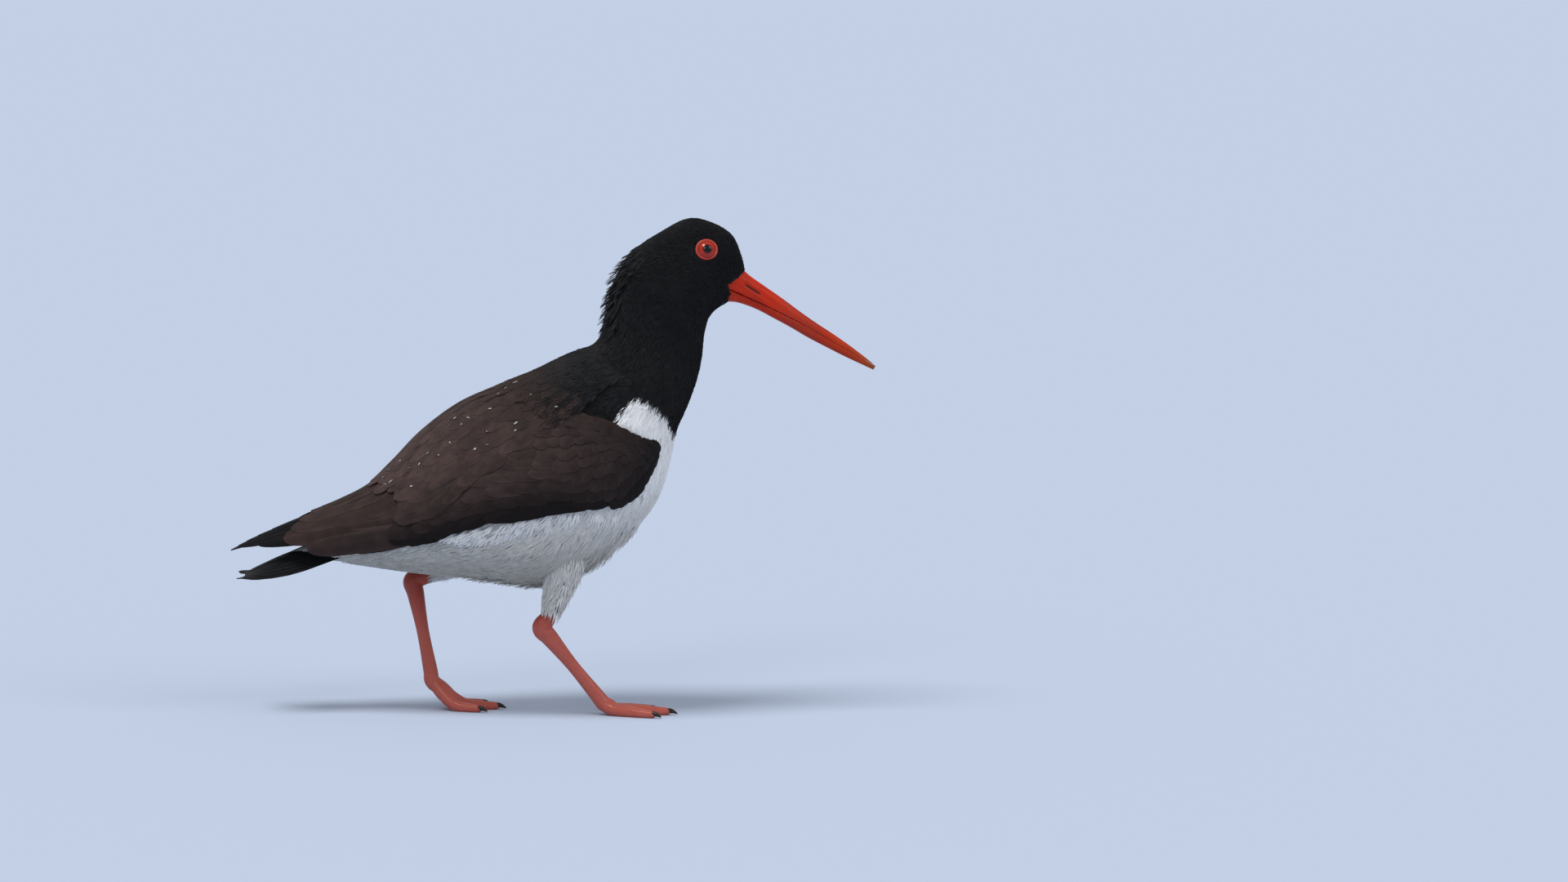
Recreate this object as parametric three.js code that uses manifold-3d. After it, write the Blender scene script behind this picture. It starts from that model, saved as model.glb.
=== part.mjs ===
import * as THREE from "three";
import { mergeVertices } from "three/addons/utils/BufferGeometryUtils.js";
import Module from "manifold-3d";

// A life-size oystercatcher, wading: right leg forward, left leg trailing, bill pointing down.
// Millimetres, +Z up, +X the way the bird faces, +Y its left side, floor at z = 0.
const wasm = await Module();
wasm.setup();

// Driving dimensions
const gap = 0.3; // kept between pieces that touch
const vaneThickness = 0.7;
const vaneCrown = 0.3; // the rise of a vane's middle over its edges
const tarsusLength = 52;
const toeLengths = { inner: 26, middle: 32, outer: 28 };
const toeAngles = { inner: -27, middle: 1, outer: 29 };
const clawLength = 6;
const ankleSizes = [5.3, 4.7, 5.2];
// Where the leg is parted, as shares of the way from the cuff to the ankle, and from there to the knuckle
const cuffGapShare = 0.03;
const ankleShare = 0.08;
const knuckleShare = 0.93;
const eyeRadius = 6.4;
const eyeCentre = { x: 78.8, y: 11.1, z: 239.9 };
const eyeTilt = { up: 0.26, forward: 0.2 };
const eyeRing = { radius: 5.2, tube: 1, depth: 4.1 };

// The body from the bill's root to the tail's: back x, z, belly x, z, and half width
const bodyStations = [
  [99.5, 227.3, 91.6, 212.6, 6.2],
  [97.0, 237.1, 87.4, 210.5, 9.4],
  [92.4, 246.8, 83.2, 207.5, 13.8],
  [82.3, 253.1, 80.2, 203.3, 17.3],
  [70.1, 255.2, 79.0, 199.0, 18.6],
  [56.3, 248.5, 78.1, 194.8, 19.2],
  [43.3, 239.6, 77.7, 190.6, 19.6],
  [34.0, 227.3, 76.9, 183.8, 19.8],
  [29.4, 213.8, 75.2, 175.0, 20.8],
  [27.3, 201.2, 72.7, 167.0, 23.5],
  [22.3, 191.0, 68.9, 157.2, 28.5],
  [10.1, 185.1, 63.8, 145.4, 35.5],
  [-7.2, 176.1, 60.5, 129.8, 41.0],
  [-26.8, 165.0, 53.8, 109.9, 43.5],
  [-46.0, 152.3, 40.3, 92.6, 43.0],
  [-63.3, 135.3, 19.3, 74.0, 41.0],
  [-74.3, 122.5, -4.6, 66.0, 37.0],
  [-84.5, 112.4, -31.9, 69.0, 31.0],
  [-95.2, 103.6, -57.1, 71.1, 24.0],
  [-105.5, 98.0, -79.0, 73.6, 17.5],
  [-114.5, 93.0, -99.1, 76.5, 12.0],
];
// Where the whole is parted, counted in stations
const headEnd = 6.2;
const neckEnd = 10.3;

// The root of the tail with its coverts, in the same five measures
const rumpStations = [
  [-104, 98.5, -88, 75.5, 15],
  [-117, 92.5, -103, 78, 12],
  [-128, 87, -119, 77.5, 9],
  [-138, 81.5, -133, 75.5, 6.5],
  [-146, 77, -144, 73.5, 3.5],
];
const tailPairs = 6;
const tailFan = { rootX: -108, length: 49, outerExtra: 5 };

// The folded wings' outer surface, from the shoulder to the wing tip, in the same five measures
const wingStations = [
  [19.3, 188.9, 67.2, 153.0, 32.0],
  [6.7, 183.8, 63.0, 142.5, 38.5],
  [-8.8, 176.2, 60.1, 127.7, 44.5],
  [-28.6, 168.2, 52.9, 108.3, 47.5],
  [-48.7, 158.9, 39.1, 91.4, 47.5],
  [-67.2, 145.0, 18.5, 73.6, 45.0],
  [-81.5, 130.2, -5.5, 65.6, 41.0],
  [-94.9, 117.5, -31.9, 67.7, 35.0],
  [-109.6, 109.5, -58.0, 70.2, 28.0],
  [-124.3, 103.6, -86.5, 71.9, 21.5],
  [-141.1, 96.4, -111.7, 73.6, 16.0],
  [-155.8, 90.1, -141.1, 77.0, 10.0],
  [-165.9, 85.0, -162.1, 82.1, 4.0],
];

// The folded wing's inner sheet on that surface, front to back: along and across at its upper edge, then at
// its lower edge. Along is in stations, across in degrees from the back's midline.
const wingSheetRows = [
  [1.45, 66, 1.5, 138],
  [1.9, 52, 2.4, 139],
  [2.5, 40, 3.1, 137],
  [3.2, 28, 3.6, 128],
  [4.0, 17, 4.2, 104],
  [4.8, 6, 5.0, 93],
  [5.6, 2.5, 5.85, 88],
  [6.4, 1.5, 6.6, 83],
  [7.2, 1.5, 7.4, 86],
  [8.0, 2, 8.1, 80],
  [8.8, 3, 8.8, 72],
  [9.5, 8, 9.4, 58],
];
const wingSheetColumns = 6;
const wingSheetTop = -1.0;
const wingSheetBottom = -2.6;

// Half widths of a vane from root to tip, as shares of its width
const shortVane = [0.4, 0.5, 0.2];
const roundVane = [0.32, 0.47, 0.48, 0.22];
const longVane = [0.36, 0.48, 0.46, 0.1];
const tailVane = [0.38, 0.5, 0.3];

// Rows of vanes on the folded wing, each from its first and last feather: where the root and the tip are
// (along, across), and the sizes, which are the width and the tip's height over the surface
const wingTiers = {
  primaries: {
    count: 3,
    roll: 0.4,
    shape: longVane,
    first: { from: [8.6, 30], to: [12, 14], sizes: [8, -0.9] },
    last: { from: [8.8, 66], to: [10.9, 52], sizes: [9, -1.0] },
  },
  secondaries: {
    count: 4,
    roll: 0.5,
    shape: longVane,
    first: { from: [7.4, 70], to: [9.5, 90], sizes: [9, -0.6] },
    last: { from: [6.3, 75], to: [8.1, 83], sizes: [10, -0.4] },
  },
  tertials: {
    count: 4,
    roll: 0.6,
    shape: longVane,
    first: { from: [7.0, 62], to: [9.95, 82], sizes: [12, 0.2] },
    last: { from: [6.5, 12], to: [10.1, 20], sizes: [12, 0.8] },
  },
  rearCoverts: {
    count: 5,
    roll: 0.7,
    shape: shortVane,
    first: { from: [6.3, 74], to: [7.95, 89], sizes: [13, 0.3] },
    last: { from: [3.5, 88], to: [4.8, 97], sizes: [13, 0.2] },
  },
  frontCoverts: {
    count: 4,
    roll: 0.6,
    shape: shortVane,
    first: { from: [3.0, 98], to: [4.25, 107], sizes: [13, 0.1] },
    last: { from: [1.6, 124], to: [2.9, 139], sizes: [12, 0.1] },
  },
  medianCoverts: {
    count: 5,
    roll: 0.6,
    shape: shortVane,
    first: { from: [4.7, 62], to: [6.3, 72], sizes: [15, 0.6] },
    last: { from: [1.6, 98], to: [2.7, 117], sizes: [14, 0.4] },
  },
  lesserCoverts: {
    count: 4,
    roll: 0.6,
    shape: shortVane,
    first: { from: [3.3, 52], to: [4.9, 60], sizes: [16, 0.8] },
    last: { from: [1.6, 74], to: [2.4, 94], sizes: [15, 0.6] },
  },
  lowerScapulars: {
    count: 4,
    roll: 0.6,
    shape: roundVane,
    first: { from: [5.1, 36], to: [7.4, 44], sizes: [17, 1.1] },
    last: { from: [2.1, 52], to: [3.7, 56], sizes: [17, 1.1] },
  },
  upperScapulars: {
    count: 4,
    roll: 0.6,
    shape: roundVane,
    first: { from: [4.7, 11], to: [7.2, 14], sizes: [16, 1.3] },
    last: { from: [2.5, 46], to: [4.0, 34], sizes: [16, 1.3] },
  },
};

// The bill along its axis: top x, z, bottom x, z, and half width
const billStations = [
  [90.0, 233.0, 82.0, 214.5, 8.4],
  [97.0, 229.6, 88.2, 212.5, 7.2],
  [102.5, 225.2, 95.4, 211.9, 5.9],
  [110.9, 219.3, 104.6, 208.7, 4.6],
  [119.3, 213.4, 113.6, 204.0, 3.8],
  [127.7, 207.1, 122.8, 199.0, 3.2],
  [136.1, 201.2, 132.0, 193.6, 2.8],
  [144.5, 195.7, 141.0, 188.9, 2.4],
  [152.9, 189.8, 150.0, 184.3, 2.0],
  [161.3, 183.4, 159.4, 179.9, 1.5],
  [166.3, 179.2, 165.2, 177.2, 0.7],
];
const mouthLine = [[86, 221.6], [91.1, 219.2], [107.1, 211.9], [127.0, 202.0], [170, 177.0]];
const nostril = { x: 103.2, z: 219.0, length: 9.5, height: 1.1, slope: 34 };
// The edge of the feathering on the bill, from the forehead past the corner of the mouth to the chin
const featherEdge = [[112, 243], [100.2, 227.6], [91.0, 221.4], [93.2, 216.5], [91.4, 212.2], [84, 200]];

// Each leg from the hip to the knuckle over the toes, and the thigh's half widths fore and aft, and across
const legs = {
  right: {
    side: -1,
    hip: [5, -15, 97],
    knee: [6, -18, 77],
    cuff: [0.3, -18.6, 55.5],
    ankle: [-5, -18, 45.5],
    knuckle: [26.5, -13, 6],
    thighSizes: [[15, 10], [10.5, 8], [5.6, 5.2]],
  },
  left: {
    side: 1,
    hip: [-28, 15, 95],
    knee: [-44, 17.5, 80],
    cuff: [-61, 17.6, 70.5],
    ankle: [-72, 17, 66],
    knuckle: [-62, 10, 14.8],
    thighSizes: [[15, 11], [10.5, 8.5], [5, 4.6]],
  },
};

// Closed surfaces

// Turns rings of points, all with the same number, into a closed geometry with its faces out.
function closedRings(rings) {
  const around = rings[0].length;
  const points = rings.flat();
  const faces = [];
  for (let r = 0; r + 1 < rings.length; r++) {
    for (let i = 0; i < around; i++) {
      const a = r * around + i;
      const b = r * around + ((i + 1) % around);
      faces.push([a, b, b + around], [a, b + around, a + around]);
    }
  }
  const centreOf = (ring) => [0, 1, 2].map((k) => ring.reduce((sum, p) => sum + p[k], 0) / around);
  const first = points.push(centreOf(rings[0])) - 1;
  const last = points.push(centreOf(rings.at(-1))) - 1;
  const base = (rings.length - 1) * around;
  for (let i = 0; i < around; i++) {
    const next = (i + 1) % around;
    faces.push([first, next, i], [last, base + i, base + next]);
  }
  return closedGeometry(points, faces);
}

// Makes an indexed geometry and turns all its faces round if its volume is negative.
function closedGeometry(points, faces) {
  const vectors = points.map((p) => new THREE.Vector3(...p));
  const volume = faces.reduce(
    (sum, [a, b, c]) => sum + vectors[a].dot(new THREE.Vector3().crossVectors(vectors[b], vectors[c])),
    0,
  );
  const outward = volume < 0 ? faces.map(([a, b, c]) => [a, c, b]) : faces;
  const geometry = new THREE.BufferGeometry();
  geometry.setAttribute("position", new THREE.Float32BufferAttribute(points.flat(), 3));
  geometry.setIndex(outward.flat());
  return geometry;
}

// A geometry as a solid that can be joined and cut.
function solid(geometry) {
  const bare = geometry.clone();
  bare.deleteAttribute("normal");
  bare.deleteAttribute("uv");
  const merged = mergeVertices(bare, 1e-4);
  const mesh = new wasm.Mesh({
    numProp: 3,
    vertProperties: new Float32Array(merged.attributes.position.array),
    triVerts: new Uint32Array(merged.index.array),
  });
  return new wasm.Manifold(mesh);
}

function joined(solids) {
  return solids.reduce((whole, piece) => whole.add(piece));
}

function largest(whole) {
  return whole.decompose().reduce((best, piece) => (piece.volume() > best.volume() ? piece : best));
}

// A solid's main body as a named mesh.
function node(name, whole, finish) {
  const mesh = largest(whole).getMesh();
  const geometry = new THREE.BufferGeometry();
  geometry.setAttribute("position", new THREE.BufferAttribute(new Float32Array(mesh.vertProperties), 3));
  geometry.setIndex(new THREE.BufferAttribute(new Uint32Array(mesh.triVerts), 1));
  geometry.computeVertexNormals();
  const made = new THREE.Mesh(geometry, finish);
  made.name = name;
  return made;
}

// Smooth forms

// A smooth curve through rows of numbers; the place along it is counted in rows.
function smoothRows(rows) {
  const row = (i) => {
    if (i < 0) return rows[0].map((v, c) => 2 * v - rows[1][c]);
    if (i >= rows.length) return rows.at(-1).map((v, c) => 2 * v - rows.at(-2)[c]);
    return rows[i];
  };
  return (place) => {
    const at = Math.min(Math.max(place, 0), rows.length - 1);
    const i = Math.min(Math.floor(at), rows.length - 2);
    const t = at - i;
    const [p, q, r, s] = [row(i - 1), row(i), row(i + 1), row(i + 2)];
    return q.map((v, c) => {
      const bend = 2 * p[c] - 5 * v + 4 * r[c] - s[c];
      const twist = 3 * (v - r[c]) + s[c] - p[c];
      return v + 0.5 * t * (r[c] - p[c] + t * (bend + t * twist));
    });
  };
}

// A point of an oval section. Angle 0 is on the back, pi on the belly, and positive angles are on the left.
function sectionPoint([backX, backZ, bellyX, bellyZ, halfWidth], angle, grow = 0) {
  const half = Math.hypot(backX - bellyX, backZ - bellyZ) / 2;
  const reach = (Math.cos(angle) * (half + grow)) / half / 2;
  return [
    (backX + bellyX) / 2 + (backX - bellyX) * reach,
    (halfWidth + grow) * Math.sin(angle),
    (backZ + bellyZ) / 2 + (backZ - bellyZ) * reach,
  ];
}

// A closed oval form through stations, with grow added all round.
function ovalForm(rows, { sides, from = 0, to = rows.length - 1, perRow = 2, grow = 0 }) {
  const curve = smoothRows(rows);
  const count = Math.round((to - from) * perRow);
  const rings = [];
  for (let r = 0; r <= count; r++) {
    const place = from + ((to - from) * r) / count;
    const section = curve(place);
    const angles = Array.from({ length: sides }, (_, i) => (2 * Math.PI * i) / sides);
    rings.push(angles.map((angle) => sectionPoint(section, angle, grow)));
  }
  return closedRings(rings);
}

// A round limb along points, with a radius fore and aft and one across at each.
function limb(points, radii, { sides = 10, steps = 8 } = {}) {
  const curve = smoothRows(points.map((p, i) => [...p, ...radii[i]]));
  const rings = [];
  const last = points.length - 1;
  for (let r = 0; r <= steps; r++) {
    const place = (last * r) / steps;
    const [x, y, z, fore, across] = curve(place);
    const [x0, y0, z0] = curve(Math.max(place - 0.05, 0));
    const [x1, y1, z1] = curve(Math.min(place + 0.05, last));
    const along = new THREE.Vector3(x1 - x0, y1 - y0, z1 - z0).normalize();
    const sideways = new THREE.Vector3(0, 1, 0).addScaledVector(along, -along.y).normalize();
    const forward = new THREE.Vector3().crossVectors(along, sideways);
    rings.push(
      Array.from({ length: sides }, (_, i) => {
        const angle = (2 * Math.PI * (i + 0.5)) / sides;
        return new THREE.Vector3(x, y, z)
          .addScaledVector(forward, fore * Math.cos(angle))
          .addScaledVector(sideways, across * Math.sin(angle))
          .toArray();
      }),
    );
  }
  return closedRings(rings);
}

// An outline of x, z points pushed through from one y to another.
function sidePrism(outline, fromY, toY) {
  const shape = new THREE.Shape(outline.map(([x, z]) => new THREE.Vector2(x, z)));
  const geometry = new THREE.ExtrudeGeometry(shape, { depth: toY - fromY, bevelEnabled: false });
  return solid(geometry.rotateX(Math.PI / 2).translate(0, toY, 0));
}

function block(low, high) {
  const size = high.map((v, k) => v - low[k]);
  const middle = high.map((v, k) => (v + low[k]) / 2);
  return solid(new THREE.BoxGeometry(...size).translate(...middle));
}

// Feathers

// A thin plate that follows a surface from one place to another.
// Both faces are split into triangles alike. roll lifts one edge over the neighbour's and lowers the other.
function vane(surface, { from, to, width, rootHeight = -1.5, tipHeight, roll = 0.5, shape = roundVane }) {
  const points = [];
  const last = shape.length - 1;
  const placeAt = (t) => between(from, to, t);
  shape.forEach((share, r) => {
    const t = r / last;
    const ahead = surface(placeAt(t + 0.05)).point.sub(surface(placeAt(t - 0.05)).point).normalize();
    const height = rootHeight + (tipHeight - rootHeight) * Math.min(1, 1.5 * t);
    for (const below of [0, vaneThickness]) {
      for (const edge of [-1, 0, 1]) {
        const { point, normal } = surface(placeAt(t), ahead, edge * share * width);
        const lift = height - below + (edge === 0 ? vaneCrown : edge * roll);
        points.push(point.addScaledVector(normal, lift).toArray());
      }
    }
  });
  const faces = [];
  const quad = (a, b, c, d) => faces.push([a, b, c], [a, c, d]);
  for (let r = 0; r < last; r++) {
    const here = r * 6;
    const next = here + 6;
    for (const i of [0, 1]) {
      quad(here + i, here + i + 1, next + i + 1, next + i);
      faces.push([here + 3 + i, next + 4 + i, here + 4 + i], [here + 3 + i, next + 3 + i, next + 4 + i]);
    }
    quad(here, next, next + 3, here + 3);
    quad(here + 2, here + 5, next + 5, next + 2);
  }
  for (const [start, turned] of [[0, false], [last * 6, true]]) {
    for (const i of [0, 1]) {
      const ends = [start + i, start + 3 + i, start + 4 + i, start + 1 + i];
      quad(...(turned ? ends.reverse() : ends));
    }
  }
  return solid(closedGeometry(points, faces));
}

// The folded wing's surface. A place is [along in stations, across in degrees from the back's midline].
// With a heading and a step it goes that far to the heading's left, keeping to the surface.
function wingSurface(side) {
  const curve = smoothRows(wingStations);
  const pointAt = ([along, degrees]) => {
    const angle = THREE.MathUtils.degToRad(side * degrees);
    return new THREE.Vector3(...sectionPoint(curve(along), angle));
  };
  const slopes = ([along, degrees]) => {
    const byPlace = pointAt([along + 0.05, degrees])
      .sub(pointAt([along - 0.05, degrees]))
      .divideScalar(0.1);
    const byAngle = pointAt([along, degrees + 1])
      .sub(pointAt([along, degrees - 1]))
      .divideScalar(2);
    const normal = new THREE.Vector3().crossVectors(byAngle, byPlace).multiplyScalar(side).normalize();
    return { byPlace, byAngle, normal };
  };
  return (place, heading, step = 0) => {
    let reached = place;
    if (step) {
      const { byPlace, byAngle, normal } = slopes(place);
      const stepVector = new THREE.Vector3().crossVectors(normal, heading).setLength(side * step);
      const area = new THREE.Vector3().crossVectors(byPlace, byAngle);
      const share = (a, b) => new THREE.Vector3().crossVectors(a, b).dot(area) / area.lengthSq();
      reached = [place[0] + share(stepVector, byAngle), place[1] + share(byPlace, stepVector)];
    }
    return { point: pointAt(reached), normal: slopes(reached).normal };
  };
}

// A sheet on the wing's surface between two heights, within wingSheetRows widened by grow degrees.
function wingSheet(side, high, low, grow = 0) {
  const surface = wingSurface(side);
  const growPlace = grow / 12;
  const rings = wingSheetRows.map(([topPlace, topAngle, lowPlace, lowAngle], r) => {
    const shift = r === 0 ? -growPlace : r === wingSheetRows.length - 1 ? growPlace : 0;
    const ends = [[topPlace + shift, topAngle - grow], [lowPlace + shift, lowAngle + grow]];
    const at = (c, height) => {
      const { point, normal } = surface(between(...ends, c / wingSheetColumns));
      return point.addScaledVector(normal, height).toArray();
    };
    const columns = Array.from({ length: wingSheetColumns + 1 }, (_, c) => c);
    return [...columns.map((c) => at(c, high)), ...columns.reverse().map((c) => at(c, low))];
  });
  return sheetOfRings(rings);
}

// Closes rings made of an upper and a lower edge of equal counts, capping the ends with strips.
function sheetOfRings(rings) {
  const around = rings[0].length;
  const faces = [];
  const quad = (a, b, c, d) => faces.push([a, b, c], [a, c, d]);
  for (let r = 0; r + 1 < rings.length; r++) {
    for (let i = 0; i < around; i++) {
      const a = r * around + i;
      const b = r * around + ((i + 1) % around);
      quad(a, b, b + around, a + around);
    }
  }
  const end = (rings.length - 1) * around;
  for (let i = 0; i < around / 2 - 1; i++) {
    quad(i, around - 1 - i, around - 2 - i, i + 1);
    quad(end + i, end + i + 1, end + around - 2 - i, end + around - 1 - i);
  }
  return solid(closedGeometry(rings.flat(), faces));
}

function tierVanes(tier, surface) {
  return Array.from({ length: tier.count }, (_, i) => {
    const t = tier.count > 1 ? i / (tier.count - 1) : 0;
    const blend = (key) => between(tier.first[key], tier.last[key], t);
    const [width, tipHeight] = blend("sizes");
    return vane(surface, {
      from: blend("from"),
      to: blend("to"),
      width,
      tipHeight,
      roll: tier.roll,
      shape: tier.shape,
    });
  });
}

// Sub-parts

// The room the torso takes with the gap round it, for what joins on to it
const torsoRoom = solid(ovalForm(bodyStations, { sides: 24, from: neckEnd, grow: gap }));

// A thin slab across the body at a station, which parts what it cuts.
function bodyCut(place) {
  const [backX, backZ, bellyX, bellyZ] = smoothRows(bodyStations)(place);
  const length = Math.hypot(backX - bellyX, backZ - bellyZ) + 40;
  const slab = new THREE.BoxGeometry(gap, 120, length);
  slab.rotateY(Math.atan2(backX - bellyX, backZ - bellyZ));
  slab.translate((backX + bellyX) / 2, 0, (backZ + bellyZ) / 2);
  return solid(slab);
}

// The zone ahead of the feathering's edge, which is the bill's.
function billZone(shift) {
  const edge = featherEdge.map(([x, z]) => [x + shift, z]);
  return sidePrism([...edge, [220, 120], [220, 260]], -40, 40);
}

function eyeForms(side) {
  const centre = [eyeCentre.x, side * eyeCentre.y, eyeCentre.z];
  const place = (geometry) =>
    geometry.rotateX(side * eyeTilt.up).rotateZ(-side * eyeTilt.forward).translate(...centre);
  const ball = place(new THREE.SphereGeometry(eyeRadius, 12, 8));
  const socket = place(new THREE.SphereGeometry(eyeRadius + gap, 12, 8));
  const ring = new THREE.TorusGeometry(eyeRing.radius, eyeRing.tube, 6, 16).rotateX(Math.PI / 2);
  ring.translate(0, side * eyeRing.depth, 0);
  return { ball: solid(ball), socket: solid(socket), ring: solid(place(ring)) };
}

function headNeckTorso() {
  const cuts = joined([bodyCut(headEnd), bodyCut(neckEnd)]);
  const whole = solid(ovalForm(bodyStations, { sides: 24 })).subtract(cuts).subtract(billZone(0));
  const height = (piece) => piece.boundingBox().max[2];
  const [head, neck, torso] = whole.decompose().sort((a, b) => height(b) - height(a));
  const wingRoom = [-1, 1].map((side) => wingSheet(side, 4, wingSheetBottom - 2 * gap, 2));
  return { head, neck, torso: torso.subtract(joined(wingRoom)) };
}

function headSolid(bare) {
  let head = bare;
  for (const side of [-1, 1]) {
    const { socket, ring } = eyeForms(side);
    head = head.add(ring).subtract(socket);
  }
  return head;
}

function billSolids() {
  const whole = solid(ovalForm(billStations, { sides: 12, perRow: 1.5 })).intersect(billZone(gap));
  const mouth = (shift) => mouthLine.map(([x, z]) => [x, z + shift]);
  const above = sidePrism([...mouth(gap / 2), [180, 260], [80, 260]], -20, 20);
  const below = sidePrism([...mouth(-gap / 2), [180, 100], [80, 100]], -20, 20);
  const slit = new THREE.BoxGeometry(nostril.length, 20, nostril.height);
  slit.rotateY(THREE.MathUtils.degToRad(nostril.slope)).translate(nostril.x, 0, nostril.z);
  return { upper: whole.intersect(above).subtract(solid(slit)), lower: whole.intersect(below) };
}

function wingSolid(side) {
  const surface = wingSurface(side);
  const vanes = Object.values(wingTiers).flatMap((tier) => tierVanes(tier, surface));
  const [low, high] = [side * -60, (side * gap) / 2].sort((a, b) => a - b);
  const whole = joined([wingSheet(side, wingSheetTop, wingSheetBottom), ...vanes]);
  return whole.subtract(block([-200, low, 0], [90, high, 260]));
}

// The tail's fan: a place is [0 at the root to 1 at the tip, -1 at the right edge to 1 at the left].
function tailSurface([u, v], heading, step = 0) {
  const halfWidth = 11 + 6 * u;
  const reached = v - step / halfWidth;
  const outward = Math.abs(reached) ** 1.5;
  const x = tailFan.rootX - (tailFan.length + tailFan.outerExtra * outward) * u;
  const middleHeight = 89.5 - 5 * u - 13.5 * u * u;
  const edgeHeight = 85.5 - 15.6 * u + 3.6 * u * u;
  const z = middleHeight + (edgeHeight - middleHeight) * outward;
  return { point: new THREE.Vector3(x, reached * halfWidth, z), normal: new THREE.Vector3(0, 0, 1) };
}

function tailSolid() {
  const vanes = [];
  for (let rank = 0; rank < tailPairs; rank++) {
    const v = (rank + 0.45) / tailPairs;
    for (const side of [-1, 1]) {
      vanes.push(
        vane(tailSurface, {
          from: [0, side * v * 0.8],
          to: [1, side * v],
          width: 9,
          rootHeight: -0.8 * rank - 0.5,
          tipHeight: -0.45 * rank,
          roll: side * 0.35,
          shape: tailVane,
        }),
      );
    }
  }
  return joined([solid(ovalForm(rumpStations, { sides: 16 })), ...vanes]).subtract(torsoRoom);
}

function between(a, b, share) {
  return a.map((v, k) => v + (b[k] - v) * share);
}

// The thigh in its feathers, the bare shank with the ankle's knob, and the tarsus, parted by straight cuts.
function legSolids({ hip, knee, cuff, ankle, knuckle, thighSizes }) {
  const thigh = limb([hip, knee, cuff], thighSizes, { sides: 12, steps: 6 });
  const shank = limb(
    [between(cuff, ankle, -0.35), between(cuff, ankle, 0.4), ankle],
    [[3.4, 3.0], [3.6, 3.2], [4.5, 4.0]],
    { sides: 10, steps: 5 },
  );
  const knob = new THREE.SphereGeometry(1, 10, 8).scale(...ankleSizes).translate(...ankle);
  const tarsus = limb(
    [0.02, 0.12, 0.5, 0.97].map((share) => between(ankle, knuckle, share)),
    [[5.2, 4.6], [4.1, 3.7], [3.3, 2.6], [3.9, 3.4]],
    { sides: 10, steps: 7 },
  );
  const belowAnkle = beyond(ankle, knuckle, ankleShare);
  const aboveAnkle = before(ankle, knuckle, ankleShare + gap / tarsusLength);
  return {
    thigh: solid(thigh).subtract(beyond(cuff, ankle, 0)).subtract(torsoRoom),
    shank: joined([solid(shank), solid(knob)])
      .subtract(before(cuff, ankle, cuffGapShare))
      .subtract(belowAnkle)
      .subtract(torsoRoom),
    tarsus: solid(tarsus).subtract(aboveAnkle).subtract(beyond(ankle, knuckle, knuckleShare)),
  };
}

// A large block across the way from a to b, starting at a share of that way and going on past it.
function beyond(a, b, share) {
  const along = new THREE.Vector3(...b).sub(new THREE.Vector3(...a)).normalize();
  const centre = new THREE.Vector3(...between(a, b, share)).addScaledVector(along, 30);
  const box = new THREE.BoxGeometry(60, 60, 60);
  box.applyQuaternion(new THREE.Quaternion().setFromUnitVectors(new THREE.Vector3(0, 0, 1), along));
  return solid(box.translate(...centre.toArray()));
}

function before(a, b, share) {
  return beyond(b, a, 1 - share);
}

// A knuckle and three toes with flats on the floor. From a raised knuckle the toes bend down to it.
function footSolids({ side, ankle, knuckle }) {
  const [x, y, z] = knuckle;
  const pad = limb(
    [between(ankle, knuckle, 0.9), knuckle, [x + 4, y, z - 1]],
    [[3.9, 3.5], [4.5, 4.4], [3, 3.6]],
    { sides: 10, steps: 4 },
  );
  const toes = [pad];
  const claws = {};
  const bendShare = z > 10 ? 0.36 : 0.2;
  for (const [name, length] of Object.entries(toeLengths)) {
    const turn = THREE.MathUtils.degToRad(side * toeAngles[name]);
    const reach = (r, height) => [x + r * Math.cos(turn), y + r * Math.sin(turn), height];
    const bend = reach(length * bendShare, Math.min(z * 0.5, 5.4) + 0.2);
    const path = [reach(0, z), bend, reach(length * 0.6, 2.4), reach(length, 1.9)];
    toes.push(limb(path, [[3.6, 3.6], [3.2, 3.3], [2.9, 3.1], [2.0, 2.1]], { sides: 8, steps: 7 }));
    const clawPath = [
      reach(length + gap, 2.2),
      reach(length + clawLength / 2, 2),
      reach(length + clawLength, 0.8),
    ];
    claws[name] = solid(limb(clawPath, [[1.5, 1.5], [1.2, 1.2], [0.35, 0.35]], { sides: 5, steps: 2 }));
  }
  const floor = block([-200, -100, -50], [200, 100, 0]);
  const behind = before(ankle, knuckle, knuckleShare + gap / tarsusLength);
  return { foot: joined(toes.map(solid)).subtract(floor).subtract(behind), claws };
}

// Finishes, from the bird's colours
const finish = (color, roughness) => new THREE.MeshStandardMaterial({ color, roughness, metalness: 0 });
const finishes = {
  black: finish("#15161a", 0.75),
  white: finish("#e9ebee", 0.85),
  wing: finish("#2a2423", 0.7),
  bill: finish("#d63a12", 0.4),
  eye: finish("#b3200f", 0.1),
  leg: finish("#c8503c", 0.5),
  claw: finish("#2b2422", 0.45),
};

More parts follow.
